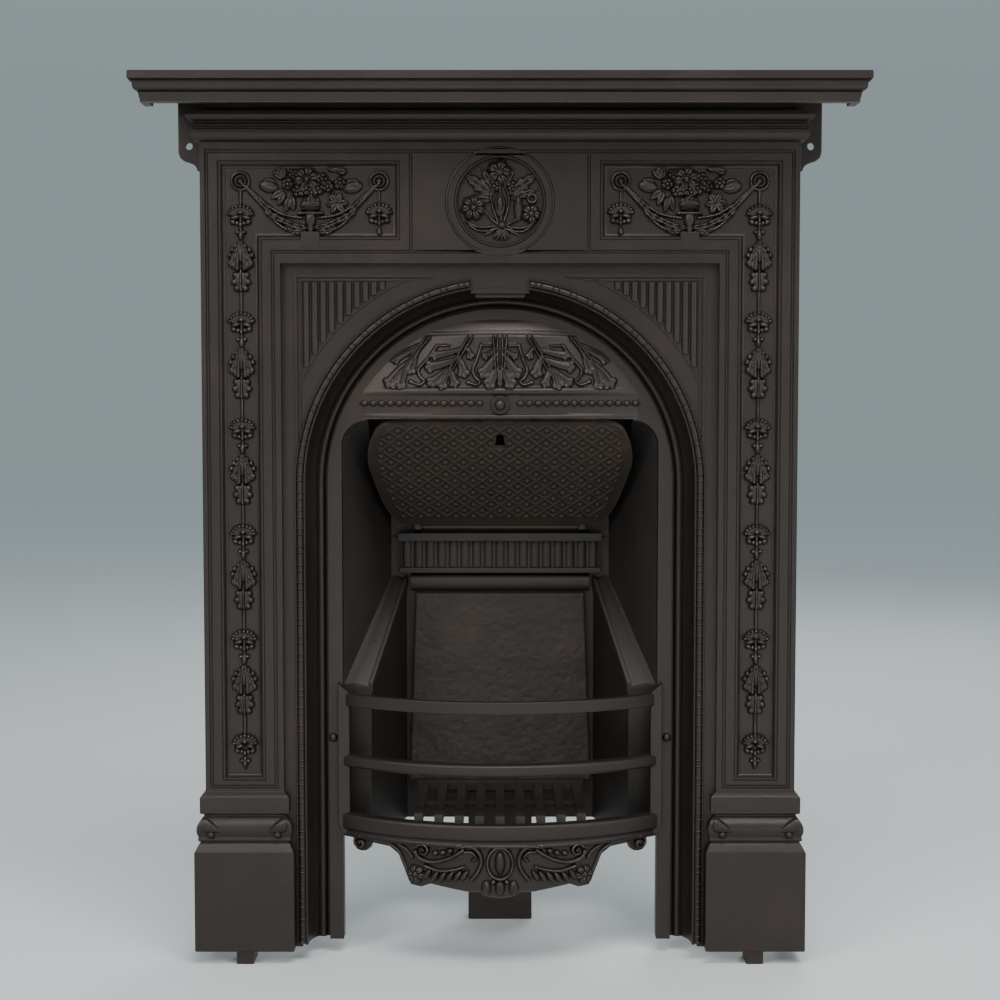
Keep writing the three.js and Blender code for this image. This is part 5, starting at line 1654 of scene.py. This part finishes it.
def lean(x, out, up):
    """Flap coordinates, out from its face and up from its pivot, to the frame's own."""
    cosine, sine = math.cos(FLAP_TILT), math.sin(FLAP_TILT)
    return x, HINGE_Y + out * cosine - up * sine, HINGE_Z + out * sine + up * cosine


def quilt_heights(x, up, half):
    along = x / QUILT + up / QUILT
    against = x / QUILT - up / QUILT
    ridge = np.minimum(np.abs(along - np.round(along)), np.abs(against - np.round(against))) * QUILT * 0.7
    heights = 1.5 * np.exp(-((ridge / 1.5) ** 2))
    column = np.round(along - 0.5) + 0.5
    row = np.round(against - 0.5) + 0.5
    away = np.hypot(along - column, against - row) * QUILT * 0.7
    heights = np.maximum(heights, 1.9 * np.sqrt(np.clip(1.0 - (away / 3.4) ** 2, 0.0, None)))
    margin = np.minimum(np.minimum((half - np.abs(x)) / 1.2 - 10.0, (up - 24.0) / 2.0),
                        (FLAP_TOP - 7.0 - up) / 2.0)
    near_keyhole = keyhole_distance(x, up) - 2.0
    return heights * np.clip(np.minimum(margin, near_keyhole), 0.0, 1.0)


def keyhole_distance(x, up):
    """How far a point lies outside the keyhole: a round hole over a tapering slot."""
    round_part = np.hypot(x, up - KEYHOLE_ROUND) - 6.0
    half = np.interp(up, (KEYHOLE_LOW, KEYHOLE_ROUND), (8.8, 4.4))
    slot = np.maximum(np.abs(x) - half, np.maximum(KEYHOLE_LOW - up, up - KEYHOLE_ROUND))
    return np.minimum(round_part, slot)


def drawn_to_keyhole(x, up, reach):
    """Grid points near the keyhole's edge moved onto it, so that the hole is cut cleanly."""
    distance = keyhole_distance(x, up)
    slope_x = keyhole_distance(x + 0.05, up) - keyhole_distance(x - 0.05, up)
    slope_up = keyhole_distance(x, up + 0.05) - keyhole_distance(x, up - 0.05)
    size = np.hypot(slope_x, slope_up) + 1e-9
    move = np.where(np.abs(distance) < reach, distance, 0.0)
    return x - move * slope_x / size, up - move * slope_up / size


print("quilt ready")

# %% Flap plate and pivot


def flap_plate():
    low = FLAP_OUTLINE[0][0]
    high = FLAP_OUTLINE[-1][0]
    share, up = np.meshgrid(np.linspace(-1.0, 1.0, FLAP_COLUMNS + 1), np.linspace(low, high, FLAP_ROWS + 1))
    curve = smooth_path([(half, level) for level, half in FLAP_OUTLINE], 12)
    half = np.interp(up, curve[:, 1], curve[:, 0])
    x = share * half
    x, up = drawn_to_keyhole(x, up, 0.75)
    inside = keyhole_distance(cell_middles(x), cell_middles(up)) > 0.0
    heights = quilt_heights(x, up, half)
    front = np.stack(lean(x, -heights - FLAP_THICK / 2.0, up), axis=2)
    back = np.stack(lean(x, np.full_like(x, FLAP_THICK / 2.0), up), axis=2)
    return relief_slab(front, back, inside)


def flap_rod(radius, half, steps=20):
    """A round bar on the pivot line."""
    rings = []
    for x in (-half, half):
        rings.append([(x, HINGE_Y + radius * math.cos(2 * math.pi * i / steps),
                       HINGE_Z + radius * math.sin(2 * math.pi * i / steps)) for i in range(steps)])
    return bevelled(loft(rings), 0.5)


def flap_web():
    half = PIVOT_BAR[1]
    ring = [(-half, -3.0), (half, -3.0), (half, 3.0), (-half, 3.0)]
    return loft([[lean(x, out, up) for x, out in ring] for up in (1.0, 10.0)])


flap = Casting().add(flap_plate(), carved=True)
flap.add(flap_rod(*PIVOT_BAR)).add(flap_rod(*PIVOT_PINS)).add(flap_web())
dress(flap.make("damper_flap", FLAP_IRON, 40.0), "flap", "flap_iron", "damper_flap")

# %% [markdown]
# The back of the basket is a plate on a rear foot, which widens behind the flap into the plain back of the
# flue. Above the fire it carries a fluted throat band between a ledge and a fillet, a round moulding under
# it, and two cradles in which the flap's pins lie. The flutes are rods set along lines.

# %% Basket back
BACK_PLATE_Y = 135.0
REAR_Y = 160.0
BAND_Y = 125.0
BAND_HALF = 142.0
LEDGE_TOP = 565.0
CHEEK_BOTTOM = 150.0
REAR_FOOT_STEP = 188.0
GRATE_Z = 197.3
FLUTE_COUNT = 17
FLUTE_PITCH = 16.7
FLUE_BACK_HALF = 200.0
FLUE_BACK_TOP = 745.0
BACK_PLATE_HALF = 163.0
REAR_FOOT_HALF = 46.0
CRADLE_X = 117.0
GRATE_LEDGE_X = 70.0


def basket_back():
    plate_back = BACK_PLATE_Y + 10.0
    casting = Casting()
    casting.add(block(-BACK_PLATE_HALF, BACK_PLATE_HALF, BACK_PLATE_Y, plate_back, CHEEK_BOTTOM,
                      LEDGE_TOP - 6.0, 1.2))
    flue = FLUE_BACK_HALF
    casting.add(block(-flue, flue, BACK_PLATE_Y, plate_back, LEDGE_TOP - 6.0, FLUE_BACK_TOP, 1.2))
    casting.add(block(-BAND_HALF, BAND_HALF, BAND_Y, BACK_PLATE_Y + 4.0, 510.0, LEDGE_TOP - 12.0))
    casting.add(block(-BAND_HALF - 4, BAND_HALF + 4, BAND_Y - 12.0, BACK_PLATE_Y + 5.0, LEDGE_TOP - 12.0,
                      LEDGE_TOP, 1.8))
    casting.add(block(-BAND_HALF - 2, BAND_HALF + 2, BAND_Y - 5.0, BACK_PLATE_Y + 1.0, 507.0, 515.0, 1.6))
    casting.add(block(-REAR_FOOT_HALF, REAR_FOOT_HALF, BACK_PLATE_Y - 2.0, REAR_Y, 0.0, REAR_FOOT_STEP,
                      1.6))
    casting.add(block(-REAR_FOOT_HALF, REAR_FOOT_HALF, BACK_PLATE_Y + 2.0, REAR_Y, REAR_FOOT_STEP - 5.0,
                      240.0, 1.6))
    for side in (-1, 1):
        x = side * CRADLE_X
        ledge = side * GRATE_LEDGE_X
        for near, far in ((-6.0, -3.6), (3.6, 6.0)):
            casting.add(block(x - 4.5, x + 4.5, HINGE_Y + near, HINGE_Y + far, LEDGE_TOP - 5.0,
                              HINGE_Z + 3.0, 0.5))
        casting.add(block(x - 4.5, x + 4.5, HINGE_Y - 6.0, HINGE_Y + 6.0, LEDGE_TOP - 5.0, HINGE_Z - 3.6,
                          0.5))
        casting.add(block(ledge - 7.0, ledge + 7.0, 113.0, 140.0, GRATE_Z - 12.0, GRATE_Z - 0.3, 0.8))
    return casting.make("basket_back", SOOTY_IRON)


def flute_lines():
    places = [(i - (FLUTE_COUNT - 1) / 2.0) * FLUTE_PITCH for i in range(FLUTE_COUNT)]
    return [[(x, BAND_Y + 4.6, 516.0), (x, BAND_Y + 4.6, 553.0)] for x in places]


dress(basket_back(), "fireplace", "sooty_iron", "basket_back")
flutes = grown("throat_flutes", flute_lines(), RODS, ROD_INPUTS, Radius=8.2 * MM, Finish=SOOTY_IRON)
dress(flutes, "fireplace", "sooty_iron")
moulding = grown("throat_moulding", [[(-128.0, 136.0, 493.0), (128.0, 136.0, 493.0)]], RODS, ROD_INPUTS,
                 Radius=13.0 * MM, Finish=SOOTY_IRON)
dress(moulding, "fireplace", "sooty_iron")

# %% [markdown]
# The fire side of the basket is a loose slab, scaled and pitted by the fire, so its face is a grid shaken
# by fixed noise. The cheeks and the loose bottom grate are plain castings: they keep the solids' own shape,
# with soft edges. The bolt heads are turned.

# %% Fireback slab, cheeks, bottom grate and bolts
SLAB_FRONT = 121.0
SLAB_BACK = 134.7
SLAB_LOW = 206.0
SLAB_HIGH = 478.0
SLAB_HALVES = (131.0, 121.0)
SLAB_COLUMNS = 164
SLAB_ROWS = 170
BOLT_X = 226.0
BOLT_Z = 298.0


def fireback_slab():
    share, z = np.meshgrid(np.linspace(-1.0, 1.0, SLAB_COLUMNS + 1),
                           np.linspace(SLAB_LOW, SLAB_HIGH, SLAB_ROWS + 1))
    x = share * np.interp(z, (SLAB_LOW, SLAB_HIGH), SLAB_HALVES)
    rough = np.zeros_like(x)
    for place in np.ndindex(x.shape):
        spot = Vector((x[place] * 0.035, 3.0, z[place] * 0.035))
        flakes = noise.multi_fractal(spot * 3.0, 0.7, 2.2, 4)
        rough[place] = 1.3 * (noise.noise(spot) + 0.5) + 0.9 * flakes
    rim = np.minimum(1.0 - np.abs(share), np.minimum(z - SLAB_LOW, SLAB_HIGH - z) / 120.0)
    rounding = 2.4 * np.clip(1.0 - rim / 0.02, 0.0, 1.0) ** 2
    front = np.stack([x, SLAB_FRONT + np.clip(rough, 0.0, 5.0) + rounding, z], axis=2)
    back = np.stack([x, np.full_like(x, SLAB_BACK), z], axis=2)
    return Casting().add(relief_slab(front, back)).make("fireback_slab", BURNT_IRON, 60.0)


def softened(node, material, width):
    """A copy of a solid with its facets merged and its sharp edges rounded."""
    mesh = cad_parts[node].data.copy()
    mesh.name = node + "_soft"
    work = bmesh.new()
    work.from_mesh(mesh)
    bmesh.ops.remove_doubles(work, verts=work.verts, dist=1e-6)
    bmesh.ops.dissolve_limit(work, angle_limit=math.radians(1.0), verts=work.verts, edges=work.edges)
    round_edges(work, width * MM)
    work.to_mesh(mesh)
    work.free()
    mesh.materials.clear()
    mesh.materials.append(material)
    mesh.shade_smooth()
    mesh.set_sharp_from_angle(angle=math.radians(35.0))
    piece = bpy.data.objects.new(node + "_soft", mesh)
    bpy.context.scene.collection.objects.link(piece)
    return piece


dress(fireback_slab(), "fireplace", "burnt_iron", "fireback_slab")
for node, width in (("left_cheek", 1.2), ("right_cheek", 1.2), ("bottom_grate", 0.9)):
    dress(softened(node, SOOTY_IRON, width), "fireplace", "sooty_iron", node)


def bolt_head(side):
    profile = [(0.05, -0.2), (6.0, -0.2), (6.0, 1.4), (5.4, 2.6), (4.2, 4.2), (2.6, 5.2), (0.05, 5.6)]
    return Casting().add(turned(profile, side * BOLT_X, FRAME_Y - 0.3, BOLT_Z, 24))


for side, node in ((-1, "left_bolt"), (1, "right_bolt")):
    dress(bolt_head(side).make(node + "_head", BLACK_LEAD), "fireplace", "black_lead", node)

# %% [markdown]
# The grate front is a bowed casting: three bars, the lowest a moulded rail, and under it a pierced-looking
# apron of rococo scrolls round an oval boss. All of it follows one bow, so each bar is a section swept
# along an arc, and the apron is a height map laid on the same arc.

# %% Grate front
BOW_HALF = 208.0
BOW_RADIUS = 336.44
BOW_CENTRE_Y = 231.44
BOW_ANGLE = math.asin(BOW_HALF / BOW_RADIUS)
TOP_BAR = (5.0, 343.0, 360.0, 2.0)
MIDDLE_BAR = (7.0, 260.0, 277.0, 6.0)
APRON_TOP = 170.0
APRON_REACH = 0.94
APRON_COLUMNS = 420
APRON_ROWS = 90
APRON_FOOT = [(0.0, 99.0), (10.0, 100.5), (22.0, 102.0), (26.0, 107.0), (45.0, 107.0), (92.0, 115.0),
              (104.0, 110.0), (118.0, 112.0), (125.0, 130.0), (133.0, 150.0), (147.0, 160.0),
              (172.0, 162.0), (175.0, 154.0), (180.0, 149.5), (186.0, 148.4), (192.0, 149.5),
              (197.5, 155.0)]


def bow_point(angle, out, z):
    radius = BOW_RADIUS + out
    return radius * math.sin(angle), BOW_CENTRE_Y - radius * math.cos(angle), z


def bowed(section, reach=1.0, steps=64):
    """A closed section of (out, z) swept along the bow."""
    angles = [BOW_ANGLE * reach * (2.0 * i / steps - 1.0) for i in range(steps + 1)]
    return loft([[bow_point(angle, out, z) for out, z in section] for angle in angles])


def rounded_bar(half, low, high, edge):
    """A bar's section with rounded corners on its front."""
    section = [(-half, low), (half - edge, low)]
    for centre, start in ((low + edge, -90.0), (high - edge, 0.0)):
        for i in range(1, 6):
            angle = math.radians(start + 15.0 * i)
            section.append((half - edge + edge * math.cos(angle), centre + edge * math.sin(angle)))
    return section + [(half - edge, high), (-half, high)]


def rail_section():
    ogee = [(7.0, 168.0), (4.6, 174.0)]
    return [(-7.0, 166.0), (6.0, 166.0), (7.0, 167.0), ogee[0], *curve_between(*ogee, 0.2), ogee[1],
            (5.0, 175.2), (7.2, 176.6), (8.0, 179.0), (8.0, 192.0), (7.0, 195.4), (4.6, 197.0),
            (-7.0, 197.0)]


print("bars ready")

# %% Apron and stiles


def scroll(relief, side, points, width, rise, taper=1.0):
    relief.strand([(side * x, z) for x, z in points], width, rise, 0.0, taper)


def apron_carving(relief):
    """Oval boss, C-scrolls, leafy volutes, slanted petals, corner flowers, pendants and end volutes."""
    oval = [(16.4 * math.cos(a), 146.0 + 21.0 * math.sin(a)) for a in np.linspace(0.0, 2.0 * math.pi, 25)]
    relief.strand(oval, 5.0, 5.8)
    relief.dome(0.0, 146.0, 14.0, 31.0, 7.6)
    for x in (-18.0, 0.0, 18.0):
        relief.dome(x, 113.0, 13.0, 21.0, 6.4)
        relief.petal(x, 121.0, math.pi, 4.0, 16.0, 7.6, 0.8, 0.0)
    for side in (-1, 1):
        relief.dome(side * 9.0, 121.0, 9.0, 7.0, 5.0, side * 0.7)
        scroll(relief, side, [(50.0, 167.0), (39.0, 168.0), (30.0, 163.0), (25.0, 154.0), (25.0, 144.0),
                              (30.0, 133.0), (37.0, 124.0)], 6.0, 6.0)
        scroll(relief, side, [(46.0, 160.0), (37.0, 160.0), (31.5, 153.0), (36.0, 149.0)], 4.4, 5.0)
        relief.dome(side * 55.0, 167.0, 13.0, 9.0, 5.6)
        scroll(relief, side, [(111.0, 157.0), (106.0, 149.0), (90.0, 145.0), (72.0, 149.0), (59.0, 155.5),
                              (48.0, 163.0)], 7.0, 6.4, 0.7)
        relief.volute(side * 101.0, 160.0, 9.0, 1.2 * side, 1.2, 4.4, 6.4, -side)
        for x, z in ((85.0, 157.0), (75.0, 158.0), (65.5, 161.0)):
            relief.dome(side * x, z, 9.6, 8.0, 5.4, side * 0.5)
        scroll(relief, side, [(98.0, 139.0), (80.0, 134.0), (62.0, 136.0), (46.0, 141.0)], 5.4, 5.4, 0.7)
        for x, z in ((90.0, 133.0), (80.0, 131.0), (70.0, 131.0), (60.0, 132.0), (50.0, 133.0),
                     (41.0, 134.0)):
            relief.petal(side * x, z + 3.0, math.pi - side * 0.6, 8.4, 19.0, 6.0, 1.2, 0.0)
        relief.flower(side * 111.0, 127.0, 13.0, 7.0, 6, side * 0.3)
        relief.volute(side * 186.0, 160.0, 9.0, 0.0, 1.2, 4.6, 5.8, side)
        scroll(relief, side, [(118.0, 118.0), (127.0, 140.0), (135.0, 156.0), (150.0, 165.0),
                              (176.0, 167.0)], 5.6, 4.4)
        scroll(relief, side, [(116.0, 150.0), (124.0, 159.0), (138.0, 167.0)], 5.0, 4.2)


def apron():
    reach = BOW_ANGLE * APRON_REACH
    angle, share = np.meshgrid(np.linspace(-reach, reach, APRON_COLUMNS + 1),
                               np.linspace(0.0, 1.0, APRON_ROWS + 1))
    x = BOW_RADIUS * np.sin(angle)
    reaches, feet = zip(*APRON_FOOT)
    foot = np.interp(np.abs(x), reaches, feet)
    z = foot + (APRON_TOP - foot) * share
    relief = Relief(x, z)
    apron_carving(relief)
    rim = np.clip((z - foot) / 3.0, 0.0, 1.0)
    radius = BOW_RADIUS + 1.4 + relief.height * (0.4 + 0.6 * rim)
    front = np.stack([radius * np.sin(angle), BOW_CENTRE_Y - radius * np.cos(angle), z], axis=2)
    inner = BOW_RADIUS - 4.0
    back = np.stack([inner * np.sin(angle), BOW_CENTRE_Y - inner * np.cos(angle), z], axis=2)
    return relief_slab(front, back)


def stile(side):
    outline = [(203.0, 166.0), (213.0, 166.0), (219.0, 182.0), (219.0, 374.0), (203.0, 360.0)]
    if side < 0:
        outline = mirrored(outline)
    return plate([outline], -39.0, FRAME_Y - 0.3, 1.6)


grate = Casting().add(apron(), carved=True).add(bowed(rail_section()))
grate.add(bowed(rounded_bar(*TOP_BAR))).add(bowed(rounded_bar(*MIDDLE_BAR)))
for side in (-1, 1):
    grate.add(stile(side))
dress(grate.make("grate_front", BLACK_LEAD, 42.0), "fireplace", "black_lead", "grate_front")
